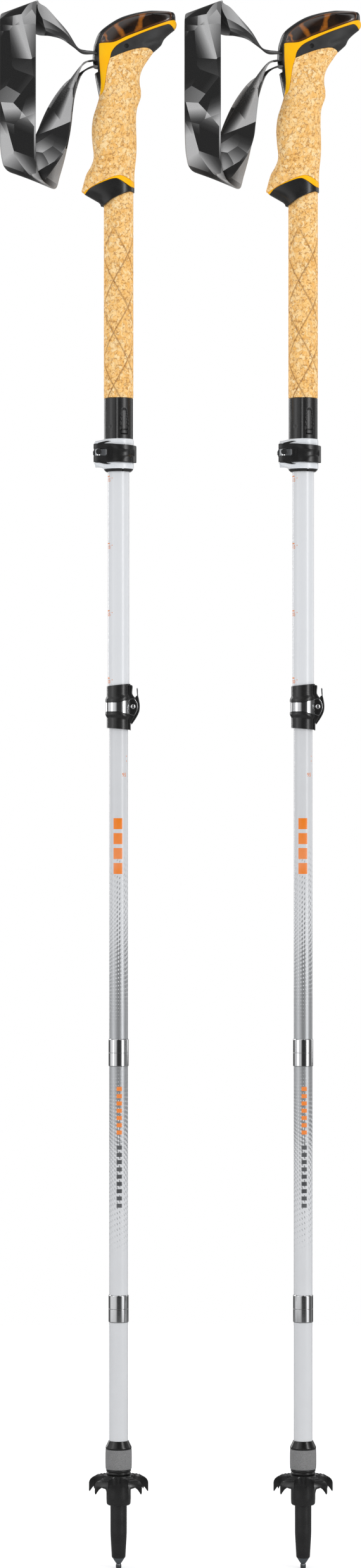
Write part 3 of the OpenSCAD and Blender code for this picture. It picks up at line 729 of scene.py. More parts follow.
def wrapped(outer, bore, low, high, rows, steps, top=None, bottom=None):
    """A sleeve whose outside radius is outer(angle, z); top and bottom may give slanted ends by angle."""
    angles = full_turn(steps)
    base = np.full(steps, low) if bottom is None else bottom(angles)
    head = np.full(steps, high) if top is None else top(angles)
    rings = []
    for t in np.linspace(0, 1, rows):
        z = base + (head - base) * t
        r = outer(angles, z)
        rings.append(np.stack([r * np.cos(angles), r * np.sin(angles), z], 1))
    for z in (head, base):
        rings.append(np.stack([bore * np.cos(angles), bore * np.sin(angles), z], 1))
    return loft(rings, closed=True)


def swept_hull(circles, count=96):
    """The outline round several circles (x, y, r), sampled evenly by length."""
    t = full_turn(64)
    cloud = np.vstack([np.stack([x + r * np.cos(t), y + r * np.sin(t)], 1) for x, y, r in circles])
    hull = cloud[geometry.convex_hull_2d([Vector(p) for p in cloud])]
    if area_of(hull) < 0:
        hull = hull[::-1]
    return evenly(hull, count)


def evenly(outline, count):
    closed = np.vstack([outline, outline[:1]])
    length = np.concatenate([[0], np.cumsum(np.linalg.norm(np.diff(closed, axis=0), axis=1))])
    at = np.arange(count) / count * length[-1]
    return np.stack([np.interp(at, length, closed[:, k]) for k in (0, 1)], 1)


def inset(outline, distance):
    tangent = np.roll(outline, -1, axis=0) - np.roll(outline, 1, axis=0)
    normal = np.stack([-tangent[:, 1], tangent[:, 0]], 1)
    normal /= np.maximum(np.linalg.norm(normal, axis=1), 1e-9)[:, None]
    return outline + normal * distance


def prism(outline, low, high, fillet=0.4):
    """An upright solid over a plan outline, with rounded upper and lower edges."""
    rings = []
    for angle in np.linspace(0, math.pi / 2, 4):
        moved = inset(outline, fillet * (1 - math.sin(angle)))
        rings.append(at_height(moved, low + fillet * (1 - math.cos(angle))))
    for angle in np.linspace(math.pi / 2, 0, 4):
        moved = inset(outline, fillet * (1 - math.sin(angle)))
        rings.append(at_height(moved, high - fillet * (1 - math.cos(angle))))
    return loft(rings)


def bump_at(value, centre, width):
    return np.exp(-((value - centre) / width) ** 2)


def step_up(value, low, high):
    t = np.clip((value - low) / (high - low), 0, 1)
    return t * t * (3 - 2 * t)


def rounded_end(z, low, high, fillet):
    """How far a surface draws in near its two ends."""
    near = np.minimum(z - low, high - z)
    t = np.clip(1 - near / fillet, 0, 1)
    return fillet * (1 - np.sqrt(1 - t * t))


# ---------------------------------------------------------------- grip and head

CROWN = [(-14.5, 1094.9), (-17.0, 1108), (-19.2, 1122), (-18.7, 1131), (-17.9, 1135.1), (-15, 1142.5),
         (-8.7, 1148.3), (0.8, 1154.1), (11.3, 1157.5), (21.8, 1159.4), (27.1, 1159.6), (37.6, 1159.1),
         (40.8, 1158.3), (42.1, 1156.2), (42.4, 1152)]
NOSE = [(42.4, 1152), (43.2, 1149.9), (42.9, 1147.3), (41.6, 1145.2)]
UNDERSIDE = [(41.6, 1145.2), (37.6, 1142), (33.9, 1138.3), (31.8, 1134.1), (29.7, 1132), (25.8, 1128.6)]
CORK_TOP = [(25.8, 1128.6), (23.4, 1129.8), (20.8, 1130.3), (16.6, 1129.9), (8.7, 1128), (0.8, 1125.2),
            (-6.1, 1122.3)]
CORK_TOP_BACK = [(-6.1, 1122.3), (-8.2, 1115.1), (-10.8, 1099.4), (-14.5, 1094.9)]
CORK_FRONT = [(11.8, 1031), (11.8, 1036), (12, 1040.4), (13, 1049.9), (13.4, 1059.3), (13, 1078.2),
              (13.9, 1087.6), (16.3, 1094.1), (16.6, 1099.9), (15.8, 1104.6), (15.8, 1109.9),
              (17.6, 1116.2), (21.8, 1123), (25.8, 1128.6)]
CORK_BACK = [(-14.5, 1094.9), (-15.3, 1092), (-17.2, 1086), (-18.8, 1081), (-19.8, 1074), (-20, 1068),
             (-19.3, 1059), (-18.6, 1053), (-19.1, 1047.5), (-21.5, 1042), (-24.3, 1037), (-27.6, 1025.3)]
LEDGE_UPPER = [(-27.6, 1025.3), (-25.7, 1024.2), (-14.2, 1030.2), (-2.8, 1034.7), (1.8, 1035.4),
               (6.4, 1033.9), (11.8, 1031)]
LEDGE_LOWER = [(11.8, 1027.4), (8.6, 1027.8), (0.7, 1032.4), (-2.8, 1033.1), (-8.5, 1031.6), (-20, 1026.8),
               (-25.1, 1022.6)]
COLLAR_LOWER = [(-25.1, 1022.6), (-14.8, 1016.7), (-11.9, 1013.7), (-2.8, 1019), (7.5, 1023.6),
                (11.8, 1024.2)]
INSERT_TOP = [(-13.4, 1134.2), (-11.3, 1140.6), (-7.1, 1145.3), (0.8, 1150.4), (11.3, 1155),
              (21.8, 1157.2), (32.3, 1158.4), (38.7, 1158.2)]
INSERT_NOSE = [(38.7, 1158.2), (39.8, 1155.5), (39.4, 1152.3)]
INSERT_LOW = [(39.4, 1152.3), (37.6, 1151), (27.1, 1146.9), (16.6, 1142.8), (6.1, 1138.8), (0.8, 1136.2),
              (-4.5, 1134.4), (-13.4, 1134.2)]
TRIM_LOW = [(41.6, 1145.2), (38.2, 1147.9), (35, 1147.5), (27.1, 1144.6), (16.6, 1140.4), (6.1, 1135.7),
            (0.8, 1133), (-2.4, 1130.4), (-5, 1126.7), (-6.1, 1122.3)]
TRIM_BACK = [(-14.5, 1094.9), (-13.4, 1100), (-13.2, 1107), (-14.2, 1120.5), (-14.4, 1133.1)]
SHELL_HIDDEN = [(42.4, 1152), (38, 1150), (27, 1145.8), (16.6, 1141.6), (6.1, 1137.2), (-2, 1132.4),
                (-7, 1126), (-10.5, 1112), (-12.3, 1101), (-14.5, 1094.9)]
SLOT = [(-17.8, 1112.4), (-15.2, 1112.9), (-15.5, 1117.4), (-18.5, 1117.2)]
PIN_HOLE = (6.1, 1131.2)
HALF_WIDTH = 13.6
ROUNDNESS = 8.0


def grip_silhouette():
    foot = [(11.8, 1031), (11.6, 1018), (11.2, 1005), (11, 990), (-11, 990), (-11.2, 1005), (-11.9, 1013.7)]
    back = COLLAR_LOWER[0::-1] + [LEDGE_UPPER[0]]
    return chain(smooth(CROWN, 2.5), smooth(NOSE, 2), smooth(UNDERSIDE, 2.5), smooth(CORK_FRONT[::-1], 3),
                 foot, [COLLAR_LOWER[1]], back, smooth(CORK_BACK[::-1], 3))


SILHOUETTE = grip_silhouette()
if area_of(SILHOUETTE) < 0:
    SILHOUETTE = SILHOUETTE[::-1]


def half_thickness(flat):
    """Half the thickness of the whole grip at each (x, z), nothing on its silhouette."""
    depth = np.minimum(depth_inside(flat, SILHOUETTE), 1.5 * edge_distance(flat, SILHOUETTE))
    t = np.clip(np.where(within(flat, SILHOUETTE), depth, 0) / ROUNDNESS, 0, 1)
    return HALF_WIDTH * np.sqrt(1 - (1 - t) ** 1.35)


def panel(outline, proud, rounding, dents=None, **options):
    """A slab of the grip over an outline in X and Z, the same on both sides."""

    def thickness(flat, near):
        half = half_thickness(flat)
        t = np.clip(1 - near / rounding, 0, 1)
        edge = rounding * (1 - np.sqrt(1 - t * t))
        half = half + proud * np.clip(half / 4, 0, 1) - edge * np.clip(half / 3, 0, 1)
        if dents is not None:
            half = half - dents(flat[:, 0], flat[:, 1])
        return np.maximum(half, 0)

    def front(flat, near):
        return np.column_stack([flat[:, 0], -thickness(flat, near), flat[:, 1]])

    def back(flat, near):
        return np.column_stack([flat[:, 0], thickness(flat, near), flat[:, 1]])

    return plate(outline, front, back, **options)


BORE_R = 8.9
BORE = (900, 1110)


def pad_dents(x, z):
    """The pin's hole and the soft hollow under the nose."""
    hole = 1.5 * step_up(-np.hypot(x - PIN_HOLE[0], z - PIN_HOLE[1]), -1.75, -1.35)
    along = np.clip(((x - 20.5) * 12.5 + (z - 1133.2) * 4.5) / (12.5 ** 2 + 4.5 ** 2), 0, 1)
    crease = np.hypot(x - 20.5 - 12.5 * along, z - 1133.2 - 4.5 * along)
    hollow = 0.9 * np.exp(-(crease / 1.3) ** 2) + 0.7 * np.exp(-(((x - 31) / 6) ** 2 + ((z - 1142) / 4) ** 2))
    return hole + hollow


def ring_points(centre, radii, count=20):
    t = full_turn(count)
    return np.vstack([np.stack([centre[0] + r * np.cos(t), centre[1] + r * np.sin(t)], 1) for r in radii])


def shell_outline():
    crown = smooth(CROWN, 0.8)
    low = crown[crown[:, 1] < SLOT[0][1]]
    low = low[: np.argmax(low[:, 1]) + 1]
    high = crown[len(low):]
    high = high[np.argmax(high[:, 1] > SLOT[-1][1]):]
    return chain(low, SLOT, high, smooth(SHELL_HIDDEN, 2))


def bored(mesh):
    """The mesh with the shaft's hole cut through it, where the length tube slides."""
    corners = np.stack([BORE_R * np.cos(full_turn(96)), BORE_R * np.sin(full_turn(96))], 1)
    drill = mesh_of("drill_skin", [loft([at_height(corners, z) for z in BORE])])
    work, tool = (bpy.data.objects.new(m.name, m) for m in (mesh, drill))
    for thing in (work, tool):
        bpy.context.scene.collection.objects.link(thing)
    cut = work.modifiers.new("bore", "BOOLEAN")
    cut.operation, cut.solver, cut.object = "DIFFERENCE", "EXACT", tool
    bpy.context.view_layer.update()
    made = bpy.data.meshes.new_from_object(work.evaluated_get(bpy.context.evaluated_depsgraph_get()))
    for thing in (work, tool):
        bpy.data.objects.remove(thing)
    made.materials.clear()
    made.name = mesh.name + "_bored"
    tidy_normals(made, CREASE)
    return made


def build_grip():
    cork_outline = chain(smooth(CORK_FRONT), smooth(CORK_TOP), smooth(CORK_TOP_BACK), smooth(CORK_BACK),
                         smooth(LEDGE_UPPER))
    mesh = plate_mesh("grip_cork", panel(cork_outline, 0.0, 0.5, step=1.0, spacing=1.7))
    add_both("grip_cork", bored(mesh), "handle", CORK, ["cork_grip"])

    mesh = plate_mesh("grip_head", panel(shell_outline(), -0.35, 0.3, step=0.7, spacing=1.5))
    add_both("grip_head", mesh, "handle", BLACK, ["head_shell"])

    insert = chain(smooth(INSERT_TOP), smooth(INSERT_NOSE), smooth(INSERT_LOW))
    mesh = plate_mesh("grip_inlay", panel(insert, 0.15, 0.9, step=0.7, spacing=1.4))
    add_both("grip_inlay", mesh, "handle", TORTOISE, ["head_insert"])

    trim_top = [(-14.4, 1133.1), (-13.4, 1133.9), (-4.5, 1134.0), (0.8, 1135.8), (6.1, 1138.4),
                (16.6, 1142.4), (27.1, 1146.5), (37.6, 1150.6), (42.4, 1152)]
    trim = chain(smooth(TRIM_BACK), smooth(trim_top), smooth(NOSE), smooth(TRIM_LOW), smooth(CORK_TOP_BACK))
    mesh = plate_mesh("grip_trim", panel(trim, 0.12, 0.45, step=0.6, spacing=1.3))
    band = chain(smooth(LEDGE_UPPER), smooth(LEDGE_LOWER))
    ledge = plate_mesh("grip_ledge_band", panel(band, 0.05, 0.35, step=0.6, spacing=1.2))
    add_both("grip_trim", mesh, "handle", YELLOW, ["accent_trim"])
    add_both("grip_ledge_band", bored(ledge), "handle", YELLOW, ["accent_trim"])

    pad = chain(smooth(TRIM_LOW), smooth(CORK_TOP[::-1]), smooth(UNDERSIDE[::-1]))
    rings = ring_points(PIN_HOLE, (1.2, 1.4, 1.55, 1.75, 2.1))
    mesh = plate_mesh("grip_pad", panel(pad, -0.1, 0.5, pad_dents, step=0.7, spacing=1.0, extra=rings))
    add_both("grip_pad", mesh, "handle", RUBBER, ["head_shell"])

    collar = chain(smooth(LEDGE_LOWER), smooth(COLLAR_LOWER))
    mesh = plate_mesh("grip_collar", panel(collar, -0.1, 0.6, step=0.8, spacing=1.4))
    add_both("grip_collar", bored(mesh), "handle", BLACK, ["ledge_collar"])


# ---------------------------------------------------------------- lower cork sleeve

SLEEVE_R = 11.0
SLEEVE_BORE = 9.0
SLEEVE_LOW = 870.9
SLEEVE_HIGH = 1024.0
GROOVES = 3
GROOVE_RISE = 39.0
CROSSING = (math.radians(-110), 918.7)


def groove_depth(angles, z):
    """1 along two families of helical grooves that cross in diamonds, 0 between them."""
    turn = math.tau / (GROOVES * GROOVE_RISE)
    half_gap = math.pi / GROOVES
    slope = math.cos(math.atan(SLEEVE_R * turn))
    depth = np.zeros(len(angles))
    for hand in (-1, 1):
        phase = angles - CROSSING[0] - hand * turn * (z - CROSSING[1])
        phase = (phase + half_gap) % (2 * half_gap) - half_gap
        depth = np.maximum(depth, np.exp(-(phase * SLEEVE_R * slope / 0.5) ** 2))
    return depth * step_up(-z, -1008, -985)


def sleeve_radius(angles, z):
    # The upper end is square, since the collar hides it
    return SLEEVE_R - rounded_end(z, SLEEVE_LOW, SLEEVE_HIGH + 36, 0.5) - 0.55 * groove_depth(angles, z)


def build_sleeve():
    sleeve = wrapped(sleeve_radius, SLEEVE_BORE, SLEEVE_LOW, SLEEVE_HIGH, 300, 168)
    mesh = mesh_of("cork_sleeve_skin", [sleeve], 60)
    points = np.array([vertex.co for vertex in mesh.vertices]) / MM
    # The grooves' depth is kept by point so that the cork material can paint shade into the grooves
    keep_values(mesh, "groove", groove_depth(np.arctan2(points[:, 1], points[:, 0]), points[:, 2]))
    add_both("lower_cork", mesh, "handle", CORK, ["cork_sleeve"])


# ---------------------------------------------------------------- lever clamp

CLAMP_HEIGHT = 22.8
CLAMP_BORE = 9.7
HANDLE_FOOT = 839.2
LEVER_LOW = CLAMP_Z + 5.1
LEVER_HIGH = LEVER_LOW + 13.5
LEVER_TAPER = 1.1
FORK_LOW = CLAMP_Z + 9.8
FORK_HIGH = FORK_LOW + 5.1
EYE = (-14.6, -7.0)
LEVER_START = 205


def clamp_sleeve_radius(angles, z):
    """Black sleeve with a flat facet at the left, a tapered flute and a catch window at the right."""
    x = SLEEVE_R * np.cos(angles)
    front = np.sin(angles) < 0
    r = np.full(len(angles), 10.75) - rounded_end(z, HANDLE_FOOT - 0.2, SLEEVE_LOW, 0.35)
    facet = step_up(-x, 0.7, 1.3) * step_up(x, -9.5, -8.5) * front
    r = r + 0.12 * facet - 0.35 * bump_at(x, -0.9, 0.5) * front
    reach = np.clip((863.6 - z) / 15.8, 0, 1)
    half = 1.2 + 2.1 * np.sqrt(reach)
    flute = step_up(half - np.abs(x - 4.5), 0, 0.7) * step_up(863.6 - z, 0, 2.5) * step_up(z, 847.3, 847.6)
    r = r - 0.75 * flute * front
    window = step_up(2.9 - np.abs(x - 4.6), 0, 0.25) * step_up(z, 843.6, 843.9) * step_up(847.3 - z, 0, 0.3)
    catch = step_up(2.5 - np.abs(x - 4.6), 0, 0.2) * step_up(z, 844.1, 844.4) * step_up(846.8 - z, 0, 0.3)
    r = r - (1.0 * window - 0.75 * catch) * front
    dimple = np.exp(-((x + 6.3) ** 2 + (z - 849.4) ** 2) / 1.1)
    return r - 0.35 * dimple * front


def clamp_section(z):
    """Plan outline of the white clamp at a height: a ring with a flange towards the lever's eye."""
    low, high = CLAMP_Z, CLAMP_Z + CLAMP_HEIGHT
    ring = 11.35 - float(rounded_end(np.array(z), low, high, 1.3))
    if LEVER_LOW - 0.2 < z < LEVER_HIGH + 0.2:
        return swept_hull([(0, 0, ring)], 120)
    away = (LEVER_LOW - z) / (LEVER_LOW - low) if z < LEVER_LOW else (z - LEVER_HIGH) / (high - LEVER_HIGH)
    reach = math.sqrt(max(0.0, 1 - min(1.0, away * 1.02) ** 2))
    x, y = EYE
    flange = (x * (0.25 + 0.73 * reach), y * (0.25 + 0.6 * reach), 0.8 + 3.2 * reach)
    return swept_hull([(0, 0, ring), flange], 120)


def clamp_solid():
    top = CLAMP_Z + CLAMP_HEIGHT
    levels = [CLAMP_Z + rise for rise in (0, 0.15, 0.4, 0.8, 1.3, 2, 2.8, 3.6, 4.4, 5.0, 5.25)]
    levels += [LEVER_LOW - 0.19, LEVER_HIGH + 0.19]
    levels += [LEVER_HIGH + rise for rise in (0.22, 0.6, 1.1, 1.7, 2.3)]
    levels += [top - 0.5, top - 0.2, top]
    rings = []
    for z in levels:
        outline = clamp_section(z)
        angle = np.arctan2(outline[:, 1], outline[:, 0])
        rings.append(at_height(outline[np.argsort(angle)], z))
    plan = rings[0][:, :2]
    bore = plan * (CLAMP_BORE / np.linalg.norm(plan, axis=1)[:, None])
    rings += [at_height(bore, z) for z in (top, CLAMP_Z)]
    return loft(rings, closed=True)


LEVER_FACE = swept_hull([(0, 0, 12.75), (*EYE, 4.0)], 400)


def face_radius(angles):
    """How far from the pole's axis the lever's smooth outer face is at each angle."""
    own = np.arctan2(LEVER_FACE[:, 1], LEVER_FACE[:, 0]) % math.tau
    order = np.argsort(own)
    return np.interp(angles, own[order], np.linalg.norm(LEVER_FACE, axis=1)[order])


def lever_shell():
    """The lever's curved arm, from its eye round to the thumb end, laid out by angle and height."""
    scale = 12.35
    total = math.radians(360 - LEVER_START) * scale
    fork = math.radians(233.5 - LEVER_START) * scale
    outline = np.array([
        (0, LEVER_LOW), (total * 0.5, LEVER_LOW - 0.25), (total - 3.2, LEVER_LOW - 0.4),
        (total - 0.9, LEVER_LOW - 0.2), (total, LEVER_LOW + 0.9), (total + 0.1, LEVER_LOW + 6),
        (total, LEVER_HIGH - LEVER_TAPER - 1.0), (total - 0.9, LEVER_HIGH - LEVER_TAPER),
        (total - 3.2, LEVER_HIGH - LEVER_TAPER + 0.1), (total * 0.5, LEVER_HIGH - LEVER_TAPER * 0.5),
        (total * 0.2, LEVER_HIGH), (0, LEVER_HIGH),
        (0, FORK_HIGH), (fork - 0.8, FORK_HIGH), (fork, FORK_HIGH - 0.8), (fork, FORK_LOW + 0.8),
        (fork - 0.8, FORK_LOW), (0, FORK_LOW),
    ])
    middle = (LEVER_LOW + LEVER_HIGH) / 2

    def angle(flat):
        return math.radians(LEVER_START) + flat[:, 0] / scale

    def outside(flat, near):
        s, z = flat[:, 0] / total, flat[:, 1]
        up = (z - middle) / (LEVER_HIGH - middle)
        # Each edge strand twists from broad at the fork to slim at the thumb end, with a sharp fold between
        fold = np.where(up > 0, 0.92 - 0.62 * step_up(s, 0.22, 0.66), 0.95 - 0.50 * step_up(s, 0.28, 0.72))
        below = np.clip((fold - np.abs(up)) / 0.30, 0, 1)
        hollow = below * step_up(s, 0.18, 0.30) * step_up(-s, -0.86, -0.74)
        r = face_radius(angle(flat)) + 0.35 - 0.55 * hollow
        r = r + 0.25 * step_up(s, 0.86, 0.92)
        recess = step_up(s, 0.24, 0.27) * step_up(-s, -0.84, -0.81) * step_up(-np.abs(up), -0.34, -0.28)
        r = r - 0.28 * recess
        t = np.clip(1 - near / 0.5, 0, 1)
        r = r - 0.5 * (1 - np.sqrt(1 - t * t))
        a = angle(flat)
        return np.column_stack([r * np.cos(a), r * np.sin(a), z])

    def inside(flat, near):
        a = angle(flat)
        return np.column_stack([11.62 * np.cos(a), 11.62 * np.sin(a), flat[:, 1]])

    return plate(outline, outside, inside, step=0.6, spacing=0.65, rows=(0.1, 0.25, 0.5))[:2]


def lever_horn(z, rise):
    """A slim horn that runs off the lever's edge over the white flange, to a point."""
    rings = []
    for t in np.linspace(0, 1, 13):
        angle = math.radians(217 + 29 * t)
        half = 0.95 * (1 - t) ** 0.8 + 0.06
        r = float(face_radius(np.array([angle]))[0]) + 0.1
        out = np.array([math.cos(angle), math.sin(angle), 0])
        centre = out * r + np.array([0, 0, z + rise * math.sin(math.pi * 0.62 * t)])
        rings.append([centre + out * half * 0.7 * math.cos(a) + np.array([0, 0, half * math.sin(a)])
                      for a in full_turn(14)])
    return loft(rings)


def lever_parts():
    knuckle = swept_hull([(*EYE, 4.0), (EYE[0] * 0.8, EYE[1] * 0.8, 1.0)], 72)
    knuckles = [prism(knuckle, *span, 0.45) for span in ((LEVER_LOW, FORK_LOW), (FORK_HIGH, LEVER_HIGH))]
    return [lever_shell(), *knuckles,
            lever_horn(LEVER_HIGH - 0.4, 2.0), lever_horn(LEVER_LOW + 0.4, -1.9)]


def build_clamp():
    sleeve = wrapped(clamp_sleeve_radius, CLAMP_BORE, HANDLE_FOOT, SLEEVE_LOW, 106, 240)
    notch = math.radians(-71)

    def lip_shape(angles, radius, z):
        gap = np.exp(-((angles - notch + math.pi) % math.tau - math.pi) ** 2 / 0.0016)
        return radius - gap * np.clip(radius - 8.3, 0, 3) * step_up(-z, -CLAMP_Z - 0.8, -CLAMP_Z + 0.4)

    lip = lathe([(8.15, CLAMP_Z + 3), (10.9, CLAMP_Z + 3), (10.9, CLAMP_Z - 0.1, 0.5),
                 (9.3, CLAMP_Z - 1.75, 0.7), (8.15, CLAMP_Z - 1.75)], 180, lip_shape)
    mesh = mesh_of("clamp_sleeve_skin", [sleeve, lip], 34)
    add_both("handle_sleeve", mesh, "handle", BLACK, ["clamp_sleeve"])

    ear = [(-17.4, -2.5), (-9.6, -2.5), (-9.6, 0.55), (-17.4, 0.55)]
    ear = prism(evenly(np.array(ear, float), 40), CLAMP_Z + 1.6, CLAMP_Z + 21.2, 0.5)
    mesh = mesh_of("clamp_white_skin", [clamp_solid(), ear], 32)
    add_both("clamp_shell", mesh, "handle", WHITE, ["clamp_body"])
    add_both("clamp_cam", mesh_of("lever_skin", lever_parts(), 30), "lever", BLACK,
             ["clamp_lever"])


# ---------------------------------------------------------------- shafts

LENGTH_R = 8.0
LENGTH_BORE = 7.08
SHAFT_R = 7.0
SHAFT_BORE = 6.1
RING_LENGTH = 10.2
SCALE_TOP = 812.7
SCALE_STEP = 50
FIGURE_SIZE = 3.9
CORD_R = 1.4


def tube_mesh(name, r, bore, low, high):
    return mesh_of(name, [lathe([(r, low, 0.2), (r, high, 0.2), (bore, high, 0.1), (bore, low, 0.1)])], 50)


def ferrule(seam, up):
    """A bright ring with its pressed-in sleeve: with a conical socket above a seam, or a spigot below it."""
    way = 1 if up else -1
    profile = [(1.9, seam + way * 20.2), (SHAFT_BORE, seam + way * 20.2),
               (SHAFT_BORE, seam + way * RING_LENGTH), (7.1, seam + way * RING_LENGTH),
               (7.5, seam + way * 9.8, 0.2)]
    if up:
        profile += [(7.5, seam + 0.04, 0.12), (5.3, seam + 0.04), (2.6, seam + 5.1), (1.9, seam + 5.1)]
    else:
        profile += [(7.5, seam - 0.1, 0.12), (5.0, seam - 0.1), (2.3, seam + 4.3, 0.3), (1.9, seam + 4.3)]
    return lathe(profile, 128)


def wrapped_text(text, base, end_angle, size, radius):
    """Upright figures printed round a tube, whose last one ends at an angle: flat solids bent round it."""
    curve = bpy.data.curves.new("figures", "FONT")
    curve.body = text
    curve.size = size
    curve.extrude = 0.03
    holder = bpy.data.objects.new("figures", curve)
    bpy.context.scene.collection.objects.link(holder)
    bpy.context.view_layer.update()
    evaluated = holder.evaluated_get(bpy.context.evaluated_depsgraph_get())
    mesh = evaluated.to_mesh()
    points = np.array([v.co for v in mesh.vertices], float).reshape(-1, 3)
    faces = [list(p.vertices) for p in mesh.polygons]
    evaluated.to_mesh_clear()
    bpy.data.objects.remove(holder)
    bpy.data.curves.remove(curve)
    r = radius + points[:, 2]
    a = end_angle - (points[:, 0].max() - points[:, 0]) / radius
    return np.stack([r * np.cos(a), r * np.sin(a), base + points[:, 1]], 1), faces


def printed_mark(degrees_low, degrees_high, low, high, radius):
    """A thin printed bar on a tube, over a run of angle and height."""
    section = [(radius - 0.03, low), (radius + 0.03, low), (radius + 0.03, high), (radius - 0.03, high)]
    return loft([[(r * math.cos(a), r * math.sin(a), z) for r, z in section]
                 for a in np.linspace(math.radians(degrees_low), math.radians(degrees_high), 7)])


def build_shafts():
    tube = tube_mesh("length_tube", LENGTH_R, LENGTH_BORE, 632, 928)
    add_both("length_tube", tube, "scale", WHITE_PAINT, ["scale_tube"])
    marks = []
    for i, label in enumerate(("115", "110", "105", "100")):
        z = SCALE_TOP - SCALE_STEP * i
        marks.append(printed_mark(180, 214, z - 0.45, z + 0.45, LENGTH_R))
        marks.append(wrapped_text(label, z - 4.0, math.radians(220.5), FIGURE_SIZE, LENGTH_R))
        marks.append(printed_mark(232, 236, z - 1.8, z - 1.1, LENGTH_R))
    add_both("length_scale", mesh_of("length_scale", marks), "scale", INK, ["scale_tube"])
    second = [wrapped_text("95", 589.4, math.radians(322), FIGURE_SIZE, SHAFT_R),
              *[printed_mark(324, 330, z, z + 0.7, SHAFT_R) for z in (600.6, 604.2)]]
    add_both("section_scale", mesh_of("section_scale", second), "top", INK, ["top_section"])
    upper, lower = UPPER_SEAM, LOWER_SEAM
    section = [("upper_shaft", "top", "top_section", upper + RING_LENGTH, 700, HALFTONE),
               ("middle_shaft", "mid", "mid_section", lower + RING_LENGTH, upper - RING_LENGTH, HALFTONE),
               ("lower_shaft", "low", "low_section", 91, lower - RING_LENGTH, SECTION)]
    for name, body, node, low, high, material in section:
        mesh = tube_mesh(name, SHAFT_R, SHAFT_BORE, low, high)
        add_both(name, mesh, body, material, [node])
    rings = [("upper_socket_ring", "top", [ferrule(upper, True)], "top_ferrule"),
             ("middle_rings", "mid", [ferrule(upper, False), ferrule(lower, True)], "mid_ferrules"),
             ("lower_spigot_ring", "low", [ferrule(lower, False)], "low_ferrule")]
    for name, body, parts, node in rings:
        add_both(name, mesh_of(name, parts, 40), body, CHROME, [node])


def build_cord():
    """The tension cord: a length inside each section, and a short straight one across each fold."""

    def run(low, high, rows=2):
        t = full_turn(16)
        circle = np.stack([CORD_R * np.cos(t), CORD_R * np.sin(t)], 1)
        return loft([at_height(circle, z) for z in np.linspace(low, high, rows)])

    seams = ((UPPER_SEAM, "mid", "top"), (LOWER_SEAM, "low", "mid"))
    lengths = (("cord_above", "top", UPPER_SEAM + 5, UPPER_SEAM + 24),
               ("cord_middle", "mid", LOWER_SEAM + 5, UPPER_SEAM - 5),
               ("cord_below", "low", 106, LOWER_SEAM - 5))
    for name, body, low, high in lengths:
        add_both(name, mesh_of(name, [run(low, high)]), body, CORD, ["tension_cord"])
    for (seam, low_body, high_body), name in zip(seams, ("cord_upper_bend", "cord_lower_bend")):
        mesh = mesh_of(name, [run(seam - 8, seam + 8, 49)])
        add_both(name, mesh, low_body, CORD, ["tension_cord"], bend=(high_body, seam - 5, seam + 5))


# ---------------------------------------------------------------- section lock

RIVET = (10.85, LOCK_Z + 17.85)
LOCK_BAND_Z = LOCK_Z + 17.6


def band_half(angles):
    """Half the band's height, which flares towards the button's side."""
    return 3.65 + 1.95 * step_up(np.cos(angles), -0.15, 0.9)


def lock_radius(angles, z):
    away = np.abs(z - LOCK_BAND_Z) - band_half(angles)
    r = 8.8 + 1.1 * step_up(away, -0.15, 0.15) * (1 - step_up(away, 1.6, 4.6))
    seam = np.abs(np.degrees((angles + math.tau) % math.tau - math.radians(331)))
    r = r - 0.22 * np.exp(-(seam / 1.6) ** 2) * step_up(away, 0, 0.6)
    return r


def lock_top(angles):
    return LOCK_Z + 34.0 + 0.103 * 8.8 * np.cos(angles)


def lock_bottom(angles):
    return LOCK_Z + 2.0 - 0.078 * 8.8 * np.cos(angles) - 0.6


def side_slab(outline, half_low, half_high, fillet, **options):
    """A solid over an outline in X and Z, from one Y to another, with rounded rims."""

    def at(offset, sign):
        def place(flat, near):
            t = np.clip(1 - near / fillet, 0, 1)
            y = offset + sign * (fillet * (1 - np.sqrt(1 - t * t)))
            return np.column_stack([flat[:, 0], y, flat[:, 1]])
        return place

    rows = (fillet * 0.15, fillet * 0.4, fillet)
    return plate(outline, at(half_low, 1), at(half_high, -1), rows=rows, **options)[:2]


def across_pole(part, y=0.0, way=1):
    """A turned part laid across the pole on the button's pin."""
    points, faces = part
    return np.stack([points[:, 0] + RIVET[0], y + way * points[:, 2], points[:, 1] + RIVET[1]], 1), faces


def rivet_head(side_y):
    """A domed head with a shallow centre mark, turned about the button's pin."""
    profile = [(CORE_R, 0.0), (1.8, 0.0), (1.8, 0.3, 0.2), (1.1, 0.72, 0.5), (0.35, 0.8, 0.2), (0.25, 0.7),
               (CORE_R, 0.66)]
    return across_pole(lathe(profile, 40), side_y, 1 if side_y > 0 else -1)


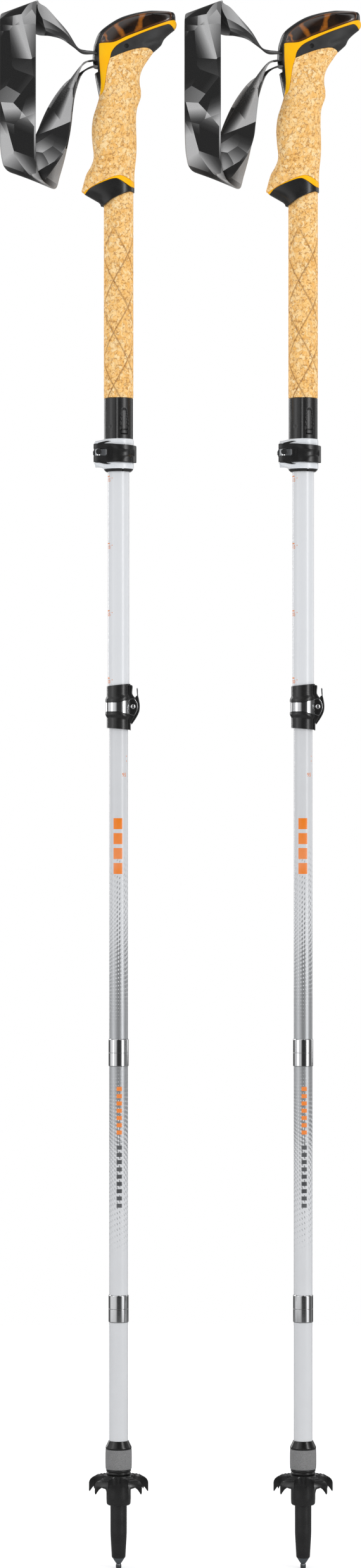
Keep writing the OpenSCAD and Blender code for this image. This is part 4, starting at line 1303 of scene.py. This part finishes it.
def build_lock():
    sleeve = wrapped(lock_radius, 7.1, 0, 1, 110, 168, lock_top, lock_bottom)
    housing = smooth([(7.75, 34.0), (10.3, 33.6), (10.2, 30.0), (10.2, 27.6), (11.4, 25.6), (12.9, 23.4),
                      (13.2, 18), (12.6, 12.5), (10.3, 7.4), (8.7, 4.6), (8.9, 0.2), (7.75, 1.2)], 1.0)
    housing = housing + (0, LOCK_Z)
    cheeks = [side_slab(housing, side * 3.55 - 0.95, side * 3.55 + 0.95, 0.6, step=0.8, spacing=1.6)
              for side in (-1, 1)]
    bridge = np.array([(7.9, 1.0), (9.0, 1.0), (9.0, 34.0), (7.9, 34.0)]) + (0, LOCK_Z)
    bridge = side_slab(bridge, -3.2, 3.2, 0.2, step=1.2, spacing=2.5)
    mesh = mesh_of("lock_skin", [sleeve, *cheeks, bridge], 34)
    add_both("section_lock", mesh, "scale", BLACK, ["lock_body"])

    count = 150
    gap = math.radians(29)
    angles = np.linspace(gap, math.tau - gap, count)
    rings = []
    for a, half in zip(angles, band_half(angles)):
        half -= 0.12
        section = [(9.0, -half), (9.45, -half), (9.62, -half + 0.25), (9.62, half - 0.25), (9.45, half),
                   (9.0, half)]
        rings.append([(r * math.cos(a), r * math.sin(a), LOCK_BAND_Z + z) for r, z in section])
    band = loft(rings)
    ear = smooth([(7.6, -5.5), (11.6, -6.2), (13.2, -4.1), (14.2, -1.6), (14.4, 0.5), (13.8, 3.2),
                  (12.6, 5.2), (11.2, 6.3), (7.6, 5.6)], 0.8) + (0, LOCK_BAND_Z)
    ears = [side_slab(ear, side * 4.9 - 0.3, side * 4.9 + 0.3, 0.2, step=0.8, spacing=1.6)
            for side in (-1, 1)]
    mesh = mesh_of("lock_band_skin", [band, *ears], 34)
    add_both("lock_strip", mesh, "scale", CHROME, ["lock_band"])

    face = smooth([(8.4, -5.2), (11.3, -5.7), (12.6, -3.9), (13.5, -1.5), (13.7, 0.5), (13.1, 3.0),
                   (12.0, 4.9), (11.0, 5.8), (8.4, 5.2)], 0.8) + (0, LOCK_BAND_Z)
    faces = [side_slab(face, side * 5.35 - 0.18, side * 5.35 + 0.18, 0.12, step=0.8, spacing=1.6)
             for side in (-1, 1)]
    add_both("lock_ear_faces", mesh_of("lock_ear_faces", faces, 34), "scale", SHINY_BLACK,
             ["lock_band"])
    pin = across_pole(lathe([(CORE_R, -5.5), (1.0, -5.5), (1.0, 5.5), (CORE_R, 5.5)], 32))
    mesh = mesh_of("rivet_skin", [rivet_head(-5.5), rivet_head(5.5), pin], 30)
    add_both("lock_rivet", mesh, "scale", CHROME, ["button_rivet"])

    press = smooth([(13.4, 26.2), (14.6, 25.6), (15.4, 22.0), (15.8, 18.5), (15.4, 14.5), (13.6, 10.4),
                    (10.6, 5.8), (9.4, 4.8), (9.5, 8.2), (9.8, 12), (9.8, 18), (10.1, 21.5),
                    (12.2, 24.6)], 0.8)
    press = press + (0, LOCK_Z)
    mesh = mesh_of("button_skin", [side_slab(press, -2.25, 2.25, 0.5, step=0.7, spacing=1.5)], 34)
    add_both("lock_button", mesh, "button", BLACK, ["release_button"])
    leaf = smooth([(13.35, 31.5), (13.9, 31.9), (14.35, 31.2), (14.5, 28), (14.75, 25), (15.0, 22.6),
                   (14.5, 22.5), (14.1, 24.8), (13.6, 27.8)], 0.6) + (0, LOCK_Z)
    mesh = mesh_of("button_leaf_skin", [side_slab(leaf, -1.9, 1.9, 0.12, step=0.6, spacing=1.2)], 34)
    add_both("lock_leaf", mesh, "button", STEEL, ["release_button"])


# ---------------------------------------------------------------- tip and basket

SERRATED_BELOW = 3.4


def build_tip():
    collar = lathe([(5.08, 89), (9.6, 89, 0.25), (9.75, 90.2, 0.5), (7.35, 95.2, 0.3), (7.0, 95.0), (7.0, 91),
                    (5.08, 91)], 128)
    mesh = mesh_of("tip_cone", [collar], 40)
    add_both("tip_cone", mesh, "low", SHINY_BLACK, ["tip_collar"])

    ring = lathe([(5.2, 74.05), (9.7, 74.05, 0.6), (9.85, 78, 1.5), (9.85, 85, 1.5), (9.7, 88.9, 0.5),
                  (5.2, 88.9)], 128)
    mesh = mesh_of("damper_skin", [ring], 40)
    for side in SIDES:
        piece = add(side, "damper_sleeve", mesh.copy(), "low", ELASTOMER, ["damper_ring"])
        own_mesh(piece)

    body = lathe([(2.6, 7.9), (4.75, 7.9), (5.1, 8.4, 0.3), (6.1, 25.5, 3.0), (6.15, 47.4), (6.5, 47.4),
                  (6.5, 70.0), (8.9, 70.1, 0.3), (9.2, 71.2, 0.3), (8.7, 71.75, 0.1), (8.7, 72.05, 0.1),
                  (9.25, 72.5, 0.3),
                  (9.25, 73.9, 0.35), (5.0, 73.9), (5.0, 92), (2.6, 92)], 128)
    add_both("tip_plastic", mesh_of("tip_plastic", [body], 34), "tip", BLACK, ["tip_body"])

    def serrated(angles, radius, z):
        return radius * (1 + 0.05 * np.cos(8 * angles)) if z < SERRATED_BELOW else radius

    cone = lathe([(CORE_R, 8.6), (4.25, 8.6), (4.4, 8.0, 0.2), (4.2, 7.2, 0.4), (2.3, 4.2, 0.4), (1.7, 3.7),
                  (CORE_R, 3.7)], 96)
    point = lathe([(CORE_R, 4.5), (1.7, 4.5), (1.7, 3.2, 0.3), (1.95, 2.6, 0.3), (1.95, 0.4, 0.15),
                   (1.75, 0.02, 0.1), (1.1, 0.5, 0.2), (CORE_R, 0.9)], 96, serrated)
    add_both("tip_metal", mesh_of("tip_metal", [cone], 30), "tip", TIP_STEEL, ["tip_point"])
    mesh = mesh_of("tip_carbide", [point], 30)
    add_both("tip_carbide", mesh, "tip", CARBIDE, ["tip_point"])


BASKET_R = 22.1
NOTCH_AT = 17.6
NOTCH_R = 7.45
LOBES = 5


def notch_half_angle(r):
    """Half the angle that a notch opens at a radius."""
    if r <= NOTCH_AT - NOTCH_R:
        return 0.0
    if r >= NOTCH_AT:
        return math.asin(NOTCH_R / r)
    return math.acos(min(1.0, (r * r + NOTCH_AT ** 2 - NOTCH_R ** 2) / (2 * r * NOTCH_AT)))


def basket_lobe(centre):
    """One lobe of the dish: a ribbed top that rolls over into a skirt with two claws."""
    stations = np.array([8.6, 10.6, *np.linspace(11.4, 18.9, 16), 20.2, 21.3, 21.9, BASKET_R])
    half_angles = np.array([math.pi / LOBES - notch_half_angle(r) for r in stations])
    rings = []
    for s in np.linspace(-1, 1, 33):
        edge = abs(s)
        claw = 5.2 * math.exp(-((edge - 0.93) / 0.16) ** 2)
        skirt = 62.3 - claw + 0.6 * math.exp(-(edge / 0.3) ** 2)
        wall = float(step_up(edge, 0.78, 0.95))
        rib_height = 0.40 * float(step_up(0.86 - edge, 0, 0.15))
        ribbed = [69.6 - 1.9 * ((r - 11) / 8) ** 2 - 1.2 * wall
                  + rib_height * max(0.0, math.sin((r - 11.4) / 2.5 * math.tau)) for r in stations[2:18]]
        top = np.array([69.8, 69.7 - 0.6 * wall, *ribbed, 67.0, 65.9, 64.6, 63.6])
        below = np.interp(stations, [8.6, 10.2, 11.5, 15.0, 18.0, 19.6, 20.2, 21.3, 21.9, BASKET_R],
                          [67.4 - 2.0 * wall, 67.6 - 5.3 * wall, 67.8 - 4.9 * wall, 67.1 - 4.4 * wall,
                           65.8 - 4.6 * wall, 64.6 - 4.5 * wall, 63.2 - 4.2 * wall,
                           skirt + 0.2, skirt, skirt + 0.4])
        angles = centre + s * half_angles
        line = np.stack([stations * np.cos(angles), stations * np.sin(angles)], -1)
        rings.append(np.vstack([np.column_stack([line, top]), np.column_stack([line, below])[::-1]]))
    points, faces = loft(rings)
    # A lobe's two end caps are strips of quads, which follow the curved notch as single faces can't
    faces = faces[:-2]
    across = len(stations)
    for first, way in ((0, -1), (len(points) - 2 * across, 1)):
        for i in range(across - 1):
            faces.append([first + k for k in (i, i + 1, 2 * across - 2 - i, 2 * across - 1 - i)][::way])
    return points, faces


def build_basket():
    parts = [basket_lobe(math.radians(-90) + (i + 0.5) * math.tau / LOBES) for i in range(LOBES)]

    hub = lathe([(6.65, 47.5), (8.2, 47.4, 0.2), (8.9, 48.2, 0.6), (9.1, 52, 1.0), (9.1, 62),
                 (9.3, 66.0, 1.0), (9.9, 68.4, 0.6), (9.9, 69.75, 0.4), (6.65, 69.75)], 128)
    mesh = mesh_of("basket_skin", [hub, *parts], 34)
    add_both("snow_basket", mesh, "basket", BLACK, ["basket"])


# ---------------------------------------------------------------- wrist strap

STRAP_T = 1.2
STRAP_WIDTH = 26.9
# How far along the print the tail starts, so that its facets aren't the loop's
TAIL_START = 700
LOOP = [
    ((-13, 8, 1129.5), (-13, -8, 1127)), ((-19.5, 9.5, 1131), (-20.5, -9.5, 1126)),
    ((-25, 11, 1132), (-27, -12, 1126)), ((-31, 10, 1134), (-33, -13, 1130.5)),
    ((-38, 8, 1145), (-42, -12, 1136.5)), ((-45.5, 7, 1154), (-51, -8, 1139.5)),
    ((-53.5, 7, 1163), (-61, 0, 1142)), ((-58, 7, 1166), (-75, 5, 1150)),
    ((-59.5, 5, 1166.8), (-86, 6, 1156)), ((-60, 0, 1167.2), (-87.5, 0, 1157)),
    ((-60.8, -5, 1164), (-88.2, -5, 1153)), ((-61.3, -7, 1152), (-88.4, -7, 1146)),
    ((-61.3, -8, 1130), (-88.4, -8, 1126)), ((-61.3, -9, 1095), (-88.4, -9, 1090)),
    ((-61.3, -9, 1060), (-88, -9, 1060)), ((-60.5, -8, 1043), (-86.5, -8, 1047)),
    ((-57.5, -5, 1034), (-84.5, -5, 1042)), ((-53, 1, 1030.2), (-80.5, 1, 1040)),
    ((-47, 7, 1028.4), (-75, 8, 1042)), ((-44, 10, 1038), (-70, 12, 1048)),
    ((-40, 12, 1053), (-65, 15, 1060)), ((-36, 12, 1073), (-59, 17, 1078)),
    ((-33.7, 9, 1092), (-51, 19, 1095)), ((-31.4, 2, 1102), (-40.5, 20, 1109)),
    ((-27, -6, 1112), (-31, 17, 1115)), ((-19.5, -9.5, 1116.5), (-21, 9.5, 1119)),
    ((-13, -8, 1117), (-13, 8, 1119)),
]
TAIL = [
    ((-13, 8, 1123.5), (-13, -8, 1121.5)), ((-19.5, 9.5, 1124.5), (-20, -9.5, 1120.5)),
    ((-26.7, 9, 1121.5), (-26.5, -13, 1117.5)), ((-37, 5, 1108), (-31.5, -14.5, 1104)),
    ((-46.5, 1, 1094), (-34, -14.5, 1088)), ((-55, -2, 1080), (-35.6, -14, 1073)),
    ((-61, -4.5, 1068), (-37, -12, 1063)), ((-66, -5, 1056), (-41, -9, 1052)),
    ((-70, -5, 1046), (-49, -7, 1040)), ((-71.5, -2, 1040.5), (-54, -2.5, 1034.5)),
    ((-71, 2, 1042), (-53, 2, 1037)), ((-68, 4, 1051), (-49, 5, 1047)),
]


def webbing_solid(route, start):
    """Flat webbing through a route's pairs of edge points, and each point's place along and across it."""
    first, second = (smooth([pair[k] for pair in route], parts=6) for k in (0, 1))
    middle = (first + second) / 2
    direction = np.gradient(middle, axis=0)
    across = first - second
    normal = np.cross(across, direction)
    for _ in range(3):
        normal[1:-1] = (normal[:-2] + normal[1:-1] * 2 + normal[2:]) / 4
    normal /= np.linalg.norm(normal, axis=1)[:, None]
    length = start + np.concatenate([[0], np.cumsum(np.linalg.norm(np.diff(middle, axis=0), axis=1))])
    share = np.array([0, 0.012, 0.04, 0.1, 0.2, 0.35, 0.5, 0.65, 0.8, 0.9, 0.96, 0.988, 1])
    swell = STRAP_T / 2 * np.sqrt(np.clip(1 - np.abs(2 * share - 1) ** 24, 0.02, 1))
    rings, place = [], []
    for a, b, n, s in zip(first, second, normal, length):
        top = [a + (b - a) * t + n * w for t, w in zip(share, swell)]
        under = [a + (b - a) * t - n * w for t, w in zip(share[::-1], swell[::-1])]
        rings.append(top + under)
        wide = [(t - 0.5) * STRAP_WIDTH for t in list(share) + list(share[::-1])]
        place += [(s, w, 0) for w in wide]
    return loft(rings), place


def build_strap():
    loop, loop_place = webbing_solid(LOOP, 0)
    tail, tail_place = webbing_solid(TAIL, TAIL_START)
    mesh = mesh_of("strap_skin", [loop, tail], 50, along_across=loop_place + tail_place)
    add_both("hand_strap", mesh, "strap", WEBBING, ["wrist_strap"])


# ---------------------------------------------------------------- finish, floor and studio

FLOOR_RADII = (0.3, 0.8, 1.35)


def paint_cad_nodes():
    """CAD solids that already have their true shape only take a better finish."""
    finish = {"grip_tube": SHINY_BLACK, "handle_fasteners": CHROME, "clamp_nut": STEEL}
    for side in SIDES:
        for name, material in finish.items():
            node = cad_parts[f"{side}_{name}"]
            node.data.materials.clear()
            node.data.materials.append(material)
            node.data.shade_smooth()
            node.data.set_sharp_from_angle(angle=math.radians(30))


def add_floor():
    mesh = bpy.data.meshes.new("floor")
    steps = 96
    points, faces = loft([[(r * math.cos(a), r * math.sin(a), 0) for a in full_turn(steps)]
                          for r in FLOOR_RADII])
    mesh.from_pydata(points.tolist(), [], faces[:-2] + [list(range(steps))])
    floor = bpy.data.objects.new("floor", mesh)
    bpy.context.scene.collection.objects.link(floor)
    floor.location.z = cad_low.z
    mesh.materials.append(stage_floor().material)


def add_studio():
    """Plain white to the camera and soft light on the poles, with cards and gaps in what they mirror."""
    world = bpy.data.worlds.new("studio")
    bpy.context.scene.world = world
    world.use_nodes = True
    g = Nodes(world.node_tree)
    x, y = g.split(g.node("ShaderNodeTexCoord").outputs["Generated"])[:2]
    azimuth = g.math("ARCTAN2", x, g.times(y, -1.0))
    # Brightness by the angle in degrees to the right of the camera
    cards = [(-180, 0.30), (-142, 0.05), (-122, 0.10), (-108, 0.42), (-96, 0.72), (-38, 0.66), (-26, 0.46),
             (-19, 0.24), (-13, 0.03), (20, 0.03), (32, 0.14), (41, 0.6), (48, 1.15), (60, 1.1), (68, 0.42),
             (77, 0.10), (92, 0.06), (108, 0.30), (120, 0.06), (150, 0.06), (165, 0.7), (180, 0.30)]
    stops = [(degrees / 360 + 0.5, (level, level, level * 1.01)) for degrees, level in cards]
    mirrored = g.ramp(g.range(azimuth, -math.pi, math.pi), stops)
    seen = g.node("ShaderNodeLightPath").outputs
    soft = g.mix(seen["Is Diffuse Ray"], (1.0, 1.0, 1.0), (0.84, 0.84, 0.85))
    light = g.mix(seen["Is Glossy Ray"], soft, mirrored)
    background = g.node("ShaderNodeBackground", {"Color": light, "Strength": 1.0})
    g.node("ShaderNodeOutputWorld", {"Surface": background.outputs[0]})


# ---------------------------------------------------------------- assembly

for build in (build_grip, build_sleeve, build_clamp, build_shafts, build_cord, build_lock, build_tip,
              build_basket, build_strap, paint_cad_nodes, add_floor, add_studio):
    build()
